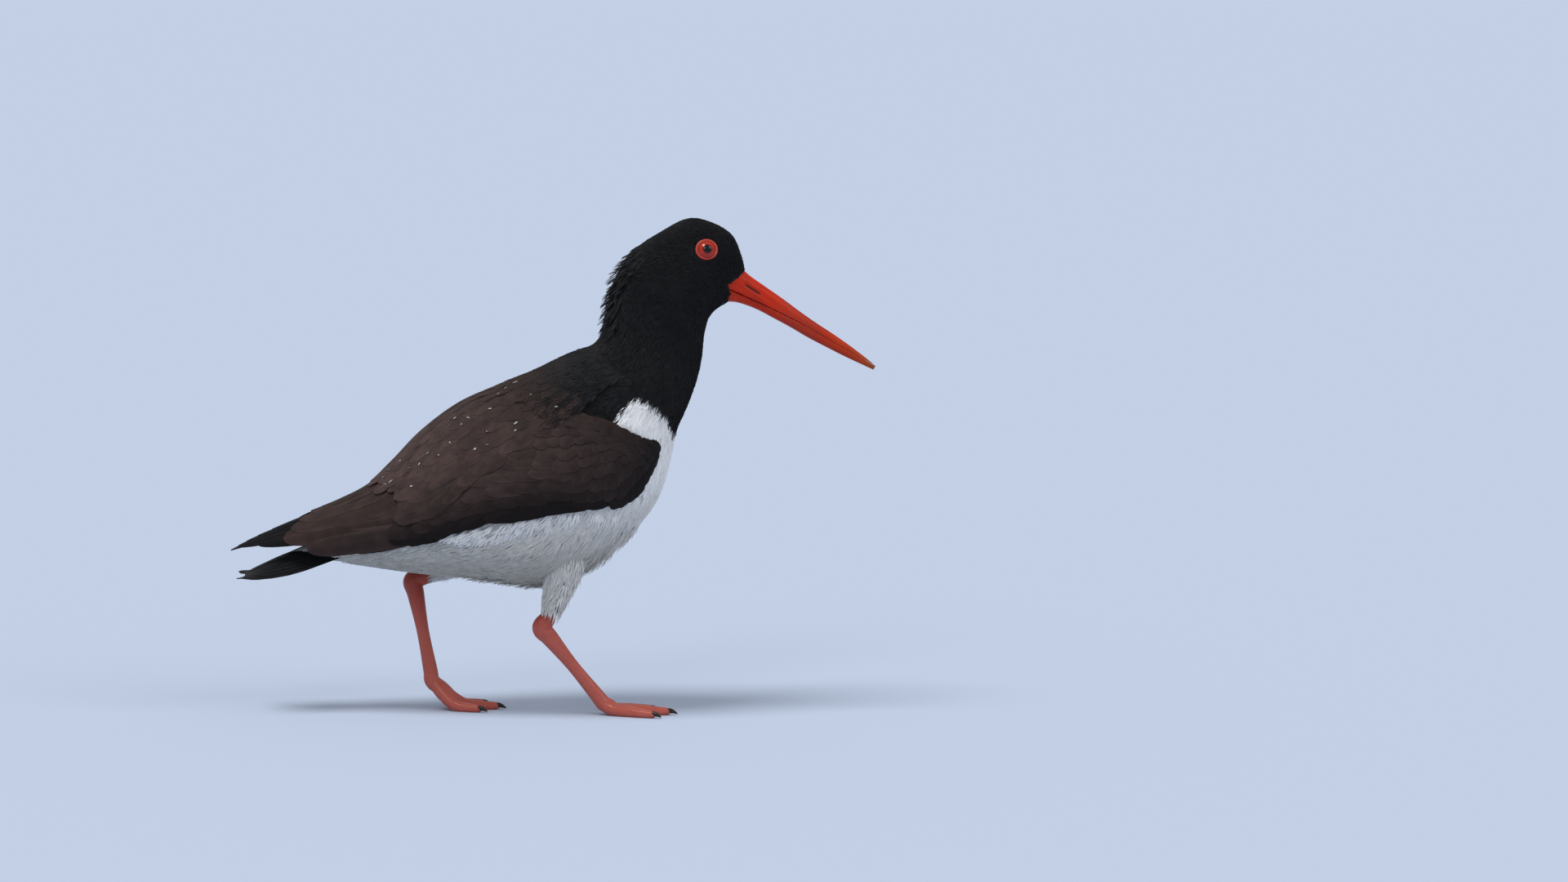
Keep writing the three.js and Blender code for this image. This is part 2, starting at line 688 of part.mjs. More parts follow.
const bird = new THREE.Group();
const { head, neck, torso } = headNeckTorso();
bird.add(node("head", headSolid(head), finishes.black));
bird.add(node("neck", neck, finishes.black));
bird.add(node("torso", torso, finishes.white));
const bill = billSolids();
bird.add(node("bill_upper", bill.upper, finishes.bill));
bird.add(node("bill_lower", bill.lower, finishes.bill));
bird.add(node("tail", tailSolid(), finishes.wing));
for (const [name, leg] of Object.entries(legs)) {
  bird.add(node(`eye_${name}`, eyeForms(leg.side).ball, finishes.eye));
  bird.add(node(`wing_${name}`, wingSolid(leg.side), finishes.wing));
  const { thigh, shank, tarsus } = legSolids(leg);
  bird.add(node(`thigh_${name}`, thigh, finishes.white));
  bird.add(node(`shank_${name}`, shank, finishes.leg));
  bird.add(node(`tarsus_${name}`, tarsus, finishes.leg));
  const { foot, claws } = footSolids(leg);
  bird.add(node(`foot_${name}`, foot, finishes.leg));
  for (const [toe, claw] of Object.entries(claws)) {
    bird.add(node(`claw_${name}_${toe}`, claw, finishes.claw));
  }
}

// The origin is on the floor, under the middle of the whole.
const whole = new THREE.Box3().setFromObject(bird);
const middle = whole.getCenter(new THREE.Vector3());
for (const piece of bird.children) {
  piece.position.set(-middle.x, -middle.y, 0);
}

export default bird;
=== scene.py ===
import math

import bpy
import numpy as np
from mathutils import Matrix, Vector


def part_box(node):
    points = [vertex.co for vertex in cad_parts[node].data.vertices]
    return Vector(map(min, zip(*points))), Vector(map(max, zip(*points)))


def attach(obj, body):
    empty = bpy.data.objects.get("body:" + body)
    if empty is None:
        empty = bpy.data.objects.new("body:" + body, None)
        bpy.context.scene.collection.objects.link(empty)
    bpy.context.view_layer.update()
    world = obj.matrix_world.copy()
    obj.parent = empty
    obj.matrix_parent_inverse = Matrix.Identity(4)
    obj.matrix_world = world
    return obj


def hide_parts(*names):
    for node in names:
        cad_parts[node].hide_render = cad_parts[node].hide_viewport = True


# A life-size oystercatcher with its plumage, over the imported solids.
# The forms are worked out in millimetres, +X the way the bird faces, floor at z = 0, and are written in
# metres in the frame's own place.
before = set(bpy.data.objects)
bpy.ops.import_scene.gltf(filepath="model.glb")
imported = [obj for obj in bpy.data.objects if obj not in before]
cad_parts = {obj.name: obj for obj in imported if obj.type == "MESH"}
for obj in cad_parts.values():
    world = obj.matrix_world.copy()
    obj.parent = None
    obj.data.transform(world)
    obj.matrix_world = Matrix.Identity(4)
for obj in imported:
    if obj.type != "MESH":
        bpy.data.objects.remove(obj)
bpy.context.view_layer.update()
rng = np.random.default_rng(7)

# The body from the bill's root to the tail's, a row for each station: back x, z, belly x, z, half width
BODY = [
    [99.5, 227.3, 91.6, 212.6, 6.2], [97.0, 237.1, 87.4, 210.5, 9.4], [92.4, 246.8, 83.2, 207.5, 13.8],
    [82.3, 253.1, 80.2, 203.3, 17.3], [70.1, 255.2, 79.0, 199.0, 18.6], [56.3, 248.5, 78.1, 194.8, 19.2],
    [43.3, 239.6, 77.7, 190.6, 19.6], [34.0, 227.3, 76.9, 183.8, 19.8], [29.4, 213.8, 75.2, 175.0, 20.8],
    [27.3, 201.2, 72.7, 167.0, 23.5], [22.3, 191.0, 68.9, 157.2, 28.5], [10.1, 185.1, 63.8, 145.4, 35.5],
    [-7.2, 176.1, 60.5, 129.8, 41.0], [-26.8, 165.0, 53.8, 109.9, 43.5], [-46.0, 152.3, 40.3, 92.6, 43.0],
    [-63.3, 135.3, 19.3, 74.0, 41.0], [-74.3, 122.5, -4.6, 66.0, 37.0], [-84.5, 112.4, -31.9, 69.0, 31.0],
    [-95.2, 103.6, -57.1, 71.1, 24.0], [-105.5, 98.0, -79.0, 73.6, 17.5], [-114.5, 93.0, -99.1, 76.5, 12.0],
]
# The folded wings' outer surface, from the shoulder to the wing tip, in the same five measures
WINGS = [
    [19.3, 188.9, 67.2, 153.0, 32.0], [6.7, 183.8, 63.0, 142.5, 38.5], [-8.8, 176.2, 60.1, 127.7, 44.5],
    [-28.6, 168.2, 52.9, 108.3, 47.5], [-48.7, 158.9, 39.1, 91.4, 47.5], [-67.2, 145.0, 18.5, 73.6, 45.0],
    [-81.5, 130.2, -5.5, 65.6, 41.0], [-94.9, 117.5, -31.9, 67.7, 35.0], [-109.6, 109.5, -58.0, 70.2, 28.0],
    [-124.3, 103.6, -86.5, 71.9, 21.5], [-141.1, 96.4, -111.7, 73.6, 16.0],
    [-155.8, 90.1, -141.1, 77.0, 10.0], [-165.9, 85.0, -162.1, 82.1, 4.0],
]
RUMP = [
    [-92, 106, -62, 72.5, 22], [-104, 98.5, -86, 75.2, 15], [-117, 92.5, -101, 77.5, 11.5],
    [-128, 87.5, -113, 79.0, 8.5], [-138, 83.0, -122, 80.0, 5.5],
]
BILL = [
    [90.0, 233.0, 82.0, 214.5, 8.4], [97.0, 229.6, 88.2, 212.5, 7.2], [102.5, 225.2, 95.4, 211.9, 5.9],
    [110.9, 219.3, 104.6, 208.7, 4.6], [119.3, 213.4, 113.6, 204.0, 3.8], [127.7, 207.1, 122.8, 199.0, 3.2],
    [136.1, 201.2, 132.0, 193.6, 2.8], [144.5, 195.7, 141.0, 188.9, 2.4], [152.9, 189.8, 150.0, 184.3, 2.0],
    [161.3, 183.4, 159.4, 179.9, 1.5], [166.3, 179.2, 165.2, 177.2, 0.7],
]
# The tail's fan: x at the root, length, rounding of its end, and half width at the root and its growth.
# middle and edge are its heights by the way out: at the root, and its change with that way and its square.
TAIL = {"root": -108, "length": 50, "rounding": 4, "half": 11, "spread": 6}
TAIL_HEIGHTS = {"middle": [89.5, -5, -13.5], "edge": [85.5, -21, 9]}
TAIL_PAIRS = 6

# Lines are two lists, for interpolation.
# The depth of the coat over the skin, by station
COAT_DEPTH = [[0, 3, 6, 9, 12, 20], [0.8, 1.0, 1.3, 1.5, 1.3, 1.2]]
# The folded wing's upper and lower edges: stations, degrees from the back
WING_TOP = [[1.35, 1.55, 1.85, 2.0, 2.4, 3.2, 4.0, 4.8, 5.6, 9.5], [131, 112, 95, 74, 52, 34, 20, 8, 3, 3]]
WING_LOW = [
    [1.35, 1.6, 2.4, 3.2, 3.6, 3.85, 4.35, 5.0, 5.85, 6.6, 7.3, 8.2],
    [135, 147, 149, 147, 140, 126, 107, 97, 91, 87, 91, 92],
]
# Where the folded wings leave the body's own feathers in sight: stations, least degrees from the back
SEEN_FROM = [[10.4, 11, 12, 13, 14, 15, 16, 17, 18, 20], [0, 25, 45, 70, 72, 64, 58, 54, 48, 0]]
# The mouth between the two halves of the bill: x, z
MOUTH = [[86, 91.1, 107.1, 127.0, 170], [221.6, 219.2, 211.9, 202.0, 177.0]]
# The lower edge of the flank's feathers over the belly: x, z
FLANK_EDGE = [[-60, -40, 2, 30, 42], [90, 86, 88.7, 100.6, 110]]
# The edge of the feathering on the bill: z, x
FEATHER_EDGE = [[200, 212.2, 216.5, 221.4, 227.6, 243], [84, 91.4, 93.2, 91.0, 100.2, 112]]
# The upper edge of the white plumage: x, z
WHITE_EDGE = [
    [-30, -10, 28, 31, 36.5, 44, 51, 58, 62.6],
    [400, 150, 150, 152, 161, 165.5, 161.5, 155.5, 144.6],
]

NOSTRIL = {"x": 103.2, "z": 219.0, "length": 9.5, "slope": 34}
EYE = {"x": 78.8, "y": 11.1, "z": 239.5, "radius": 6.4, "up": 0.26, "forward": 0.2}
EYE_RING = {"radius": 5.15, "tube": 0.65, "depth": 4.15}
# How far round from its axis the front of the eye bulges, in radians
CORNEA_ANGLE = 1.5
LEGS = {
    "right": {
        "side": -1,
        "hip": [5, -15, 97],
        "knee": [6, -18, 77],
        "cuff": [0.3, -18.6, 55.5],
        "ankle": [-5, -18, 45.5],
        "knuckle": [26.5, -13, 6],
        "thigh": [[15, 10], [10.5, 8], [5.6, 5.2]],
        "toe_bend": 0.2,
    },
    "left": {
        "side": 1,
        "hip": [-28, 15, 95],
        "knee": [-44, 17.5, 80],
        "cuff": [-61, 17.6, 70.5],
        "ankle": [-72, 17, 66],
        "knuckle": [-62, 10, 14.8],
        "thigh": [[15, 11], [10.5, 8.5], [5, 4.6]],
        "toe_bend": 0.36,
    },
}
# Radii of the leg, forward and sideways, from inside the cuff to its end among the toes
LEG_RADII = [
    [3.3, 3.0], [3.6, 3.3], [4.3, 3.9], [5.1, 4.6], [4.4, 4.0], [3.2, 2.6],
    [3.7, 3.3], [4.0, 3.9], [3.8, 4.2], [2.8, 3.4], [0.6, 0.8],
]
TOE_RADII = [[3.6, 3.6], [3.2, 3.3], [2.9, 3.1], [2.0, 2.1], [0.9, 0.9]]
CLAW_RADII = [[1.6, 1.5], [1.2, 1.1], [0.25, 0.25]]
# Each toe's length and its angle from the way ahead, in degrees outwards
TOES = {"inner": [26, -27], "middle": [32, 1], "outer": [28, 29]}
CLAW = 6
SCUTE = 2.6

eye_low, eye_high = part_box("eye_right")
SHIFT = np.array([(eye_low.x + eye_high.x) * 500 - EYE["x"], 0, 0])


def metres(points):
    return (np.asarray(points, float) + SHIFT) * 0.001


# Surfaces


def smooth_rows(rows):
    """A smooth curve through rows of numbers, straight past its ends. Its place is counted in rows."""
    rows = np.array(rows, float)
    padded = np.vstack([2 * rows[0] - rows[1], rows, 2 * rows[-1] - rows[-2]])
    last = len(rows) - 1

    def at(place):
        place = np.asarray(place, float)
        held = np.clip(place, 0, last)
        i = np.minimum(held.astype(int), last - 1)
        t = (held - i)[..., None]
        p, q, r, s = (padded[i + k] for k in range(4))
        value = q + 0.5 * t * (r - p + t * (2 * p - 5 * q + 4 * r - s + t * (3 * (q - r) + s - p)))
        before = np.minimum(place, 0)[..., None] * (rows[1] - rows[0])
        beyond = np.maximum(place - last, 0)[..., None] * (rows[-1] - rows[-2])
        return value + before + beyond

    return at


def unit(vectors):
    return vectors / np.maximum(np.linalg.norm(vectors, axis=-1, keepdims=True), 1e-9)


class Surface:
    """A surface whose places are pairs: along the bird, and across from the middle to the left.

    Each kind has point(along, across). small is a short way along and across, to take slopes over.
    """

    small = (0.04, 0.8)

    def slopes(self, along, across):
        """The change of the point per unit along and across, and the outward normal."""
        a, c = self.small
        by_along = (self.point(along + a, across) - self.point(along - a, across)) / (2 * a)
        by_across = (self.point(along, across + c) - self.point(along, across - c)) / (2 * c)
        return by_along, by_across, unit(np.cross(by_across, by_along))

    def steps(self, along, across, vector):
        """The steps along and across that make up a vector on the surface."""
        u, v, _ = self.slopes(along, across)
        uu, uv, vv = (u * u).sum(-1), (u * v).sum(-1), (v * v).sum(-1)
        gu, gv = (vector * u).sum(-1), (vector * v).sum(-1)
        area = np.maximum(uu * vv - uv * uv, 1e-6)
        return np.stack([(vv * gu - uv * gv) / area, (uu * gv - uv * gu) / area], -1)


class Oval(Surface):
    """Oval sections through stations, sunk by a depth; across is in degrees from the back's midline."""

    def __init__(self, rows, sink=None):
        self.curve = smooth_rows(rows)
        self.sink = sink
        self.last = len(rows) - 1

    def point(self, along, across):
        row = self.curve(along)
        angle = np.radians(across)
        back, belly, half = row[..., 0:2], row[..., 2:4], row[..., 4]
        reach = (back - belly) / 2
        if self.sink is not None:
            depth = self.sink(along)
            length = np.linalg.norm(reach, axis=-1)
            reach = reach * (np.maximum(length - depth, 0.5) / length)[..., None]
            half = half - depth
        xz = (back + belly) / 2 + reach * np.cos(angle)[..., None]
        return np.stack([xz[..., 0], half * np.sin(angle), xz[..., 1]], -1)


class Fan(Surface):
    """The tail: along from 0 at the root to 1 at the tips, across from -1 to 1."""

    small = (0.02, 0.02)

    def point(self, along, across):
        outward = np.abs(across) ** 1.5
        x = TAIL["root"] - (TAIL["length"] + TAIL["rounding"] * outward) * along
        middle, edge = (a + b * along + c * along**2 for a, b, c in TAIL_HEIGHTS.values())
        y = across * (TAIL["half"] + TAIL["spread"] * along)
        return np.stack([x, y, middle + (edge - middle) * outward], -1)


class Limb(Surface):
    """A round limb along points, with two radii at each; across is in degrees from its front."""

    def __init__(self, points, radii):
        self.curve = smooth_rows([[*p, *r] for p, r in zip(points, radii)])
        self.last = len(points) - 1

    def point(self, along, across):
        row = self.curve(along)
        way = unit(self.curve(along + 0.03)[..., :3] - self.curve(along - 0.03)[..., :3])
        sideways = unit(np.array([0, 1, 0]) - way * way[..., 1:2])
        forward = np.cross(sideways, way)
        angle = np.radians(across)
        return (
            row[..., :3]
            + forward * (row[..., 3] * np.cos(angle))[..., None]
            + sideways * (row[..., 4] * np.sin(angle))[..., None]
        )


def thigh(leg, depth=0):
    """The thigh's surface, sunk by a depth."""
    radii = [[r - depth for r in pair] for pair in leg["thigh"]]
    return Limb([leg["hip"], leg["knee"], leg["cuff"]], radii)


def coat_depth(along):
    return np.interp(along, *COAT_DEPTH)


body = Oval(BODY)
wings = Oval(WINGS)
rump = Oval(RUMP)
tail = Fan()


# Meshes


def mesh_object(name, points, faces):
    """A smooth mesh from points in millimetres and a list of arrays of faces."""
    sizes = np.concatenate([np.full(len(group), group.shape[1]) for group in faces])
    corners = np.concatenate([group.ravel() for group in faces]).astype(np.int32)
    mesh = bpy.data.meshes.new(name)
    mesh.vertices.add(len(points))
    mesh.vertices.foreach_set("co", metres(points).astype(np.float32).ravel())
    mesh.loops.add(len(corners))
    mesh.loops.foreach_set("vertex_index", corners)
    mesh.polygons.add(len(sizes))
    mesh.polygons.foreach_set("loop_start", (np.cumsum(sizes) - sizes).astype(np.int32))
    mesh.update(calc_edges=True)
    mesh.polygons.foreach_set("use_smooth", np.full(len(sizes), True))
    obj = bpy.data.objects.new(name, mesh)
    bpy.context.scene.collection.objects.link(obj)
    return obj


def dress(obj, tint, material, slot, *replaced):
    """Gives a mesh its colours and material, and its place in the frame for the solids it replaces."""
    layer = obj.data.color_attributes.new("Tint", "FLOAT_COLOR", "POINT")
    rgba = np.ones((len(layer.data), 4), np.float32)
    rgba[:, :3] = tint
    layer.data.foreach_set("color", rgba.ravel())
    obj.data.materials.append(material)
    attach(obj, "root")
    if replaced:
        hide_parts(*replaced)


def tube(surface, rings, around):
    """A closed tube over a surface of degrees: its points and faces."""
    grid = ring_grid(surface, rings, around)
    ends = np.stack([grid[0].mean(0), grid[-1].mean(0)])
    return np.vstack([grid.reshape(-1, 3), ends]), ring_faces(rings, around, pole=True)


def ring_grid(surface, rings, around):
    """The points of rings along a surface of degrees."""
    along = np.linspace(0, surface.last, rings)
    across = np.arange(around) * 360 / around
    return surface.point(*np.meshgrid(along, across, indexing="ij"))


def ring_faces(rings, around, pole=False):
    """Quads between rings, and triangles to the two points that follow them."""
    i = np.arange(around)
    n = (i + 1) % around
    r = np.arange(rings - 1)[:, None] * around
    quads = np.stack([r + i, r + n, r + around + n, r + around + i], -1).reshape(-1, 4)[:, ::-1]
    if not pole:
        return [quads]
    first = rings * around
    base = (rings - 1) * around
    starts = np.stack([np.full(around, first), i, n], -1)[:, ::-1]
    finish = np.stack([np.full(around, first + 1), base + n, base + i], -1)[:, ::-1]
    return [quads, starts, finish]


def joined(parts):
    """Several (points, faces) as one."""
    points, quads, triangles = [], [], []
    start = 0
    for some_points, groups in parts:
        points.append(some_points)
        for group in groups:
            (quads if group.shape[1] == 4 else triangles).append(group + start)
        start += len(some_points)
    return np.concatenate(points), [np.concatenate(group) for group in (quads, triangles)]


# Feathers

# Sections of a feather: places across in half widths, and heights in thicknesses
VANE_SECTION = np.array(
    [[-1, 0], [-0.5, 0], [-0.05, 0.25], [0.05, 0.25], [0.5, 0], [1, 0], [1, -1], [0, -1], [-1, -1]]
)
BLADE_SECTION = np.array([[-1.0, 0], [0, 1], [1, 0]])
VANE_THICKNESS = 0.11
# The rings of a soft blade, with their shares of its width and of its tint
BLADE_RINGS = np.array([0, 0.45, 1.0])
BLADE_SHARES = np.array([0.7, 1.0, 0.06])
BLADE_TONES = np.array([0.88, 0.97, 1.05])
BRIGHTEST = 0.95
# Half the width and the length of a feather's patch on the unwrap
PATCH_HALF, PATCH_LENGTH = 0.0012, 0.003
# Faces that meet at more than this many degrees have a sharp edge
SHARP = 55
# The grid that random places are drawn from, along and across
GRID = (160, 180)


def rounded(t, root=0.45, full=0.3, tip_from=0.62, tip=0.05):
    """Half widths of a vane with a round tip, as shares of its half width."""
    rise = root + (1 - root) * np.minimum(t / full, 1) ** 0.7
    past = np.clip((t - tip_from) / (1 - tip_from), 0, 1)
    return np.maximum(rise * np.sqrt(1 - past**2), tip)


def lay(surface, start, finish, width, heights, shares, places, section, thick, crown=0.0, roll=0.0):
    """Feathers on a surface, as points by feather, ring and place round the section.

    start and finish are places of root and tip, width is in millimetres, and heights are those over the
    surface at root, middle and tip. roll lifts the edge on the right of the feather's way.
    """
    way = (finish - start)[:, None, :]
    t = places
    place = start[:, None, :] + way * t[:, None]
    along, across = place[..., 0], place[..., 1]
    near = surface.point(along + way[..., 0] * 0.03, across + way[..., 1] * 0.03)
    heading = unit(near - surface.point(along, across))
    normal = surface.slopes(along, across)[2]
    step = surface.steps(along, across, unit(np.cross(normal, heading)))
    s = section[:, 0]
    offset = (np.reshape(width, (-1, 1)) / 2 * shares)[..., None] * s
    reached = place[..., None, :] + step[..., None, :] * offset[..., None]
    point = surface.point(reached[..., 0], reached[..., 1])
    outward = surface.slopes(reached[..., 0], reached[..., 1])[2]
    low, mid, high = np.atleast_2d(heights).T[:, :, None]
    height = low * (1 - t) * (1 - 2 * t) + mid * 4 * t * (1 - t) + high * t * (2 * t - 1)
    rise = crown * (1 - s**2) - roll * s * np.minimum(1, 2 * t)[:, None] + thick * section[:, 1]
    return point + outward * (height[..., None] + rise)[..., None]


class Coat:
    """Feathers gathered for one mesh, with their colours and their places on an unwrap of the skin."""

    def __init__(self, name):
        self.name = name
        self.points, self.quads, self.tints, self.bake, self.vane = [], [], [], [], []
        self.caps = {}
        self.start = 0

    def add(self, points, tints, root_uv, length, width, section):
        """Adds feathers: points as lay gives them, tints, the roots' places on the unwrap, and sizes."""
        count, rings, around, _ = points.shape
        base = self.start + np.arange(count)[:, None, None] * rings * around
        self.quads.append((base + ring_faces(rings, around)[0]).reshape(-1, 4))
        first = np.arange(around)
        last = rings * around - 1 - first
        self.caps.setdefault(around, []).extend(base[:, 0] + cap for cap in (first, last))
        self.points.append(points.reshape(-1, 3))
        self.tints.append(np.broadcast_to(tints, points.shape).reshape(-1, 3))
        s = section[:, 0]
        t = np.linspace(0, 1, rings)[:, None]
        patch = np.broadcast_arrays(s * PATCH_HALF, t * PATCH_LENGTH - PATCH_LENGTH / 2)
        self.bake.append((root_uv[:, None, None, :] + np.stack(patch, -1)).reshape(-1, 2))
        across = s * np.reshape(width, (-1, 1, 1)) * 0.05
        along = t * np.reshape(length, (-1, 1, 1)) * 0.1
        lines = [np.broadcast_to(part, (count, rings, around)) for part in (across, along)]
        self.vane.append(np.stack(lines, -1).reshape(-1, 2))
        self.start += count * rings * around

    def build(self, material, slot, *replaced):
        groups = [np.concatenate(self.quads), *(np.concatenate(caps) for caps in self.caps.values())]
        obj = mesh_object(self.name, np.concatenate(self.points), groups)
        obj.data.set_sharp_from_angle(angle=math.radians(SHARP))
        corners = np.concatenate([group.ravel() for group in groups])
        for map_name, places in (("OFBake", self.bake), ("Vane", self.vane)):
            layer = obj.data.uv_layers.new(name=map_name)
            layer.data.foreach_set("uv", np.concatenate(places)[corners].astype(np.float32).ravel())
        dress(obj, np.concatenate(self.tints), material, slot, *replaced)


def unwrap(surface, places):
    """Places as an unwrap of the surface's own shape, inside 0.02 to 0.98."""
    if isinstance(surface, Fan):
        return np.stack([0.05 + 0.9 * places[:, 0], 0.5 + 0.4 * places[:, 1]], -1)
    along = 0.02 + 0.96 * np.clip(places[:, 0] / surface.last, 0, 1)
    return np.stack([along, 0.5 + places[:, 1] / 380], -1)


def scatter(surface, spacing, along, across=(-180, 180), keep=None):
    """Random places about spacing millimetres apart, over a range of the surface."""
    fine_along = np.linspace(*along, GRID[0])
    fine_across = np.linspace(*across, GRID[1])
    u, v, _ = surface.slopes(*np.meshgrid(fine_along, fine_across, indexing="ij"))
    area = np.linalg.norm(np.cross(u, v), axis=-1)
    length, breadth = along[1] - along[0], across[1] - across[0]
    cell = length / (GRID[0] - 1) * breadth / (GRID[1] - 1)
    tries = int(4 * area.sum() * cell / spacing**2)
    chosen = rng.choice(area.size, size=tries, p=(area / area.sum()).ravel())
    i, j = np.unravel_index(chosen, area.shape)
    jitter = rng.random((tries, 2)) - 0.5
    place_along = fine_along[i] + jitter[:, 0] * length / (GRID[0] - 1)
    place_across = fine_across[j] + jitter[:, 1] * breadth / (GRID[1] - 1)
    places = np.stack([place_along, place_across], -1)
    points = surface.point(place_along, place_across)
    if keep is not None:
        kept = keep(points, places)
        places, points = places[kept], points[kept]
    return places[spread_out(points, spacing)]


def spread_out(points, spacing):
    """The indices of points that stay at least spacing apart, taken in their order."""
    reach = spacing * 0.82
    cells = np.floor(points / reach).astype(int).tolist()
    around = [(i, j, k) for i in (-1, 0, 1) for j in (-1, 0, 1) for k in (-1, 0, 1)]
    taken = {}
    kept = []
    for index, point in enumerate(points.tolist()):
        a, b, c = cells[index]
        near = (taken.get((a + i, b + j, c + k)) for i, j, k in around)
        if not any(other and math.dist(other, point) < reach for other in near):
            taken[(a, b, c)] = point
            kept.append(index)
    return np.array(kept, int)


def headed(surface, places, degrees, length):
    """The tips of feathers that start at places and run back, turned by degrees to the left."""
    along, across = places[:, 0], places[:, 1]
    u, _, normal = surface.slopes(along, across)
    back = unit(u)
    left = unit(np.cross(normal, back))
    turn = np.radians(degrees)[:, None]
    vector = (back * np.cos(turn) + left * np.sin(turn)) * length[:, None]
    return places + surface.steps(along, across, vector)


def colour(text):
    """A colour written as six hex digits, in linear light."""
    part = np.array([int(text[i : i + 2], 16) for i in (0, 2, 4)]) / 255
    return np.where(part <= 0.04045, part / 12.92, ((part + 0.055) / 1.055) ** 2.4)


def mixed(a, b, share):
    return a * (1 - share) + b * share


def ramp(values, stops, colours):
    """Colours by value: one at each stop, and mixed between them."""
    table = np.array([colour(text) for text in colours])
    return np.stack([np.interp(values, stops, table[:, k]) for k in range(3)], -1)


BLACK = colour("17181b")
BROWN = colour("4a3a37")
BROWN_DARK = colour("2a2021")
TERTIAL = colour("3a2c29")
WHITE = colour("f7f8fa")
# A greyed white for the lower belly and the undertail: partly stains, partly painted shade
STAINED_AND_SHADED = colour("a29e94")
NOSTRIL_DARK = colour("3a1710")
MUD = colour("5c4a38")
LID_RED = colour("ba2e16")
CLAW_DARK = colour("2b2422")
LEG_PINK = colour("c25644")
ANKLE_RED = colour("a8321c")
# The bill's colours by x, from the root to the horny tip
BILL_STOPS = [80, 100, 130, 152, 160, 165, 167]
BILL_COLOURS = ["c82808", "bc2606", "b02608", "aa2e06", "ac3a06", "8a4414", "4a3626"]
# The eye's colours by millimetres from its axis: pupil, iris and dark rim
EYE_STOPS = [0, 2.0, 2.25, 3.2, 4.3, 4.8, 6.4]
EYE_COLOURS = ["020202", "020202", "84180a", "b02812", "94200e", "2a0806", "200604"]


def white_share(points):
    """1 where the plumage of the body is white and 0 where it is black."""
    x, z = points[..., 0], points[..., 2]
    edge = np.interp(x, *WHITE_EDGE) + 0.8 * np.sin(x * 1.3) + 0.5 * np.sin(x * 2.9 + 1)
    return np.clip((edge - z) / 0.8 + 0.5, 0, 1)


def body_tint(points):
    """The colour of skin and coat on the body: browner behind, and greyer below, partly stains and partly
    painted shade.
    """
    back = np.clip((30 - points[..., 0:1]) / 50, 0, 1)
    # Greyer towards the bottom: partly wet stains, partly painted shade
    clean_and_lit = np.clip((points[..., 2:3] - 66) / 60, 0, 1)
    share = white_share(points)[..., None]
    return mixed(mixed(BLACK, BROWN_DARK, back), mixed(STAINED_AND_SHADED, WHITE, clean_and_lit), share)


def tufts(coat, surface, places, length, width, heights, blades=3, spread=12, tint=None, wild=5, way=0):
    """Soft feathers, each a few thin pointed blades from one root.

    They run back, turned by way degrees, fan out by spread and stray by wild.
    """
    count = len(places)
    roots = np.repeat(places, blades, axis=0)
    fan = np.tile(np.linspace(-1, 1, blades), count)
    turn = way + spread * fan + rng.normal(0, wild, count * blades)
    turn = turn + np.repeat(rng.normal(0, wild, count), blades)
    long = np.repeat(length * rng.uniform(0.8, 1.15, count), blades) * (1 - 0.2 * np.abs(fan))
    tips = headed(surface, roots, turn, long)
    high = np.repeat(np.broadcast_to(heights, (count, 3)), blades, axis=0)
    high = high + rng.normal(0, 0.08, (count * blades, 1)) * np.array([0, 0.6, 1])
    points = lay(surface, roots, tips, width, high, BLADE_SHARES, BLADE_RINGS, BLADE_SECTION, 0.2 * width)
    if tint is None:
        shown = roots[::blades] * 0.25 + tips[::blades] * 0.75
        tint = body_tint(surface.point(shown[:, 0], shown[:, 1]))
    shade = np.broadcast_to(tint, (count, 3)) * rng.uniform(0.9, 1.08, (count, 1))
    shade = np.repeat(shade, blades, axis=0) * rng.uniform(0.95, 1.04, (count * blades, 1))
    tints = np.minimum(shade[:, None, None, :] * BLADE_TONES[:, None, None], BRIGHTEST)
    coat.add(points, tints, unwrap(surface, roots), long, width, BLADE_SECTION)


def vanes(coat, surface, start, finish, width, heights, tint, rings=9, crown=0.14, roll=0.0,
          shape=rounded, edge=1.1, ragged=0.045):
    """Firm feathers with a shaft, each one vane. edge lightens the tint towards the rim."""
    start, finish = np.asarray(start, float), np.asarray(finish, float)
    count = len(start)
    places = 1 - (1 - np.linspace(0, 1, rings)) ** 1.5
    shares = shape(places)
    points = lay(
        surface, start, finish, width, heights, shares, places, VANE_SECTION, VANE_THICKNESS, crown, roll
    )
    s = np.abs(VANE_SECTION[:, 0])
    middle = points.mean(axis=2, keepdims=True)
    wobble = 1 + rng.normal(0, ragged, (count, rings, len(s), 1)) * (s[:, None] > 0.9)
    points = middle + (points - middle) * wobble
    rim = np.clip(np.maximum(s**3, (places[:, None] - 0.75) * 4), 0, 1)
    shaft = (s < 0.1) * 0.12
    level = 0.85 + (edge - 0.85) * rim + shaft
    shade = np.broadcast_to(tint, (count, 3)) * rng.uniform(0.85, 1.15, (count, 1))
    tints = np.minimum(shade[:, None, None, :] * level[:, :, None], BRIGHTEST)
    length = np.linalg.norm(points[:, -1].mean(1) - points[:, 0].mean(1), axis=-1)
    coat.add(points, tints, unwrap(surface, start), length, width, VANE_SECTION)


# Materials


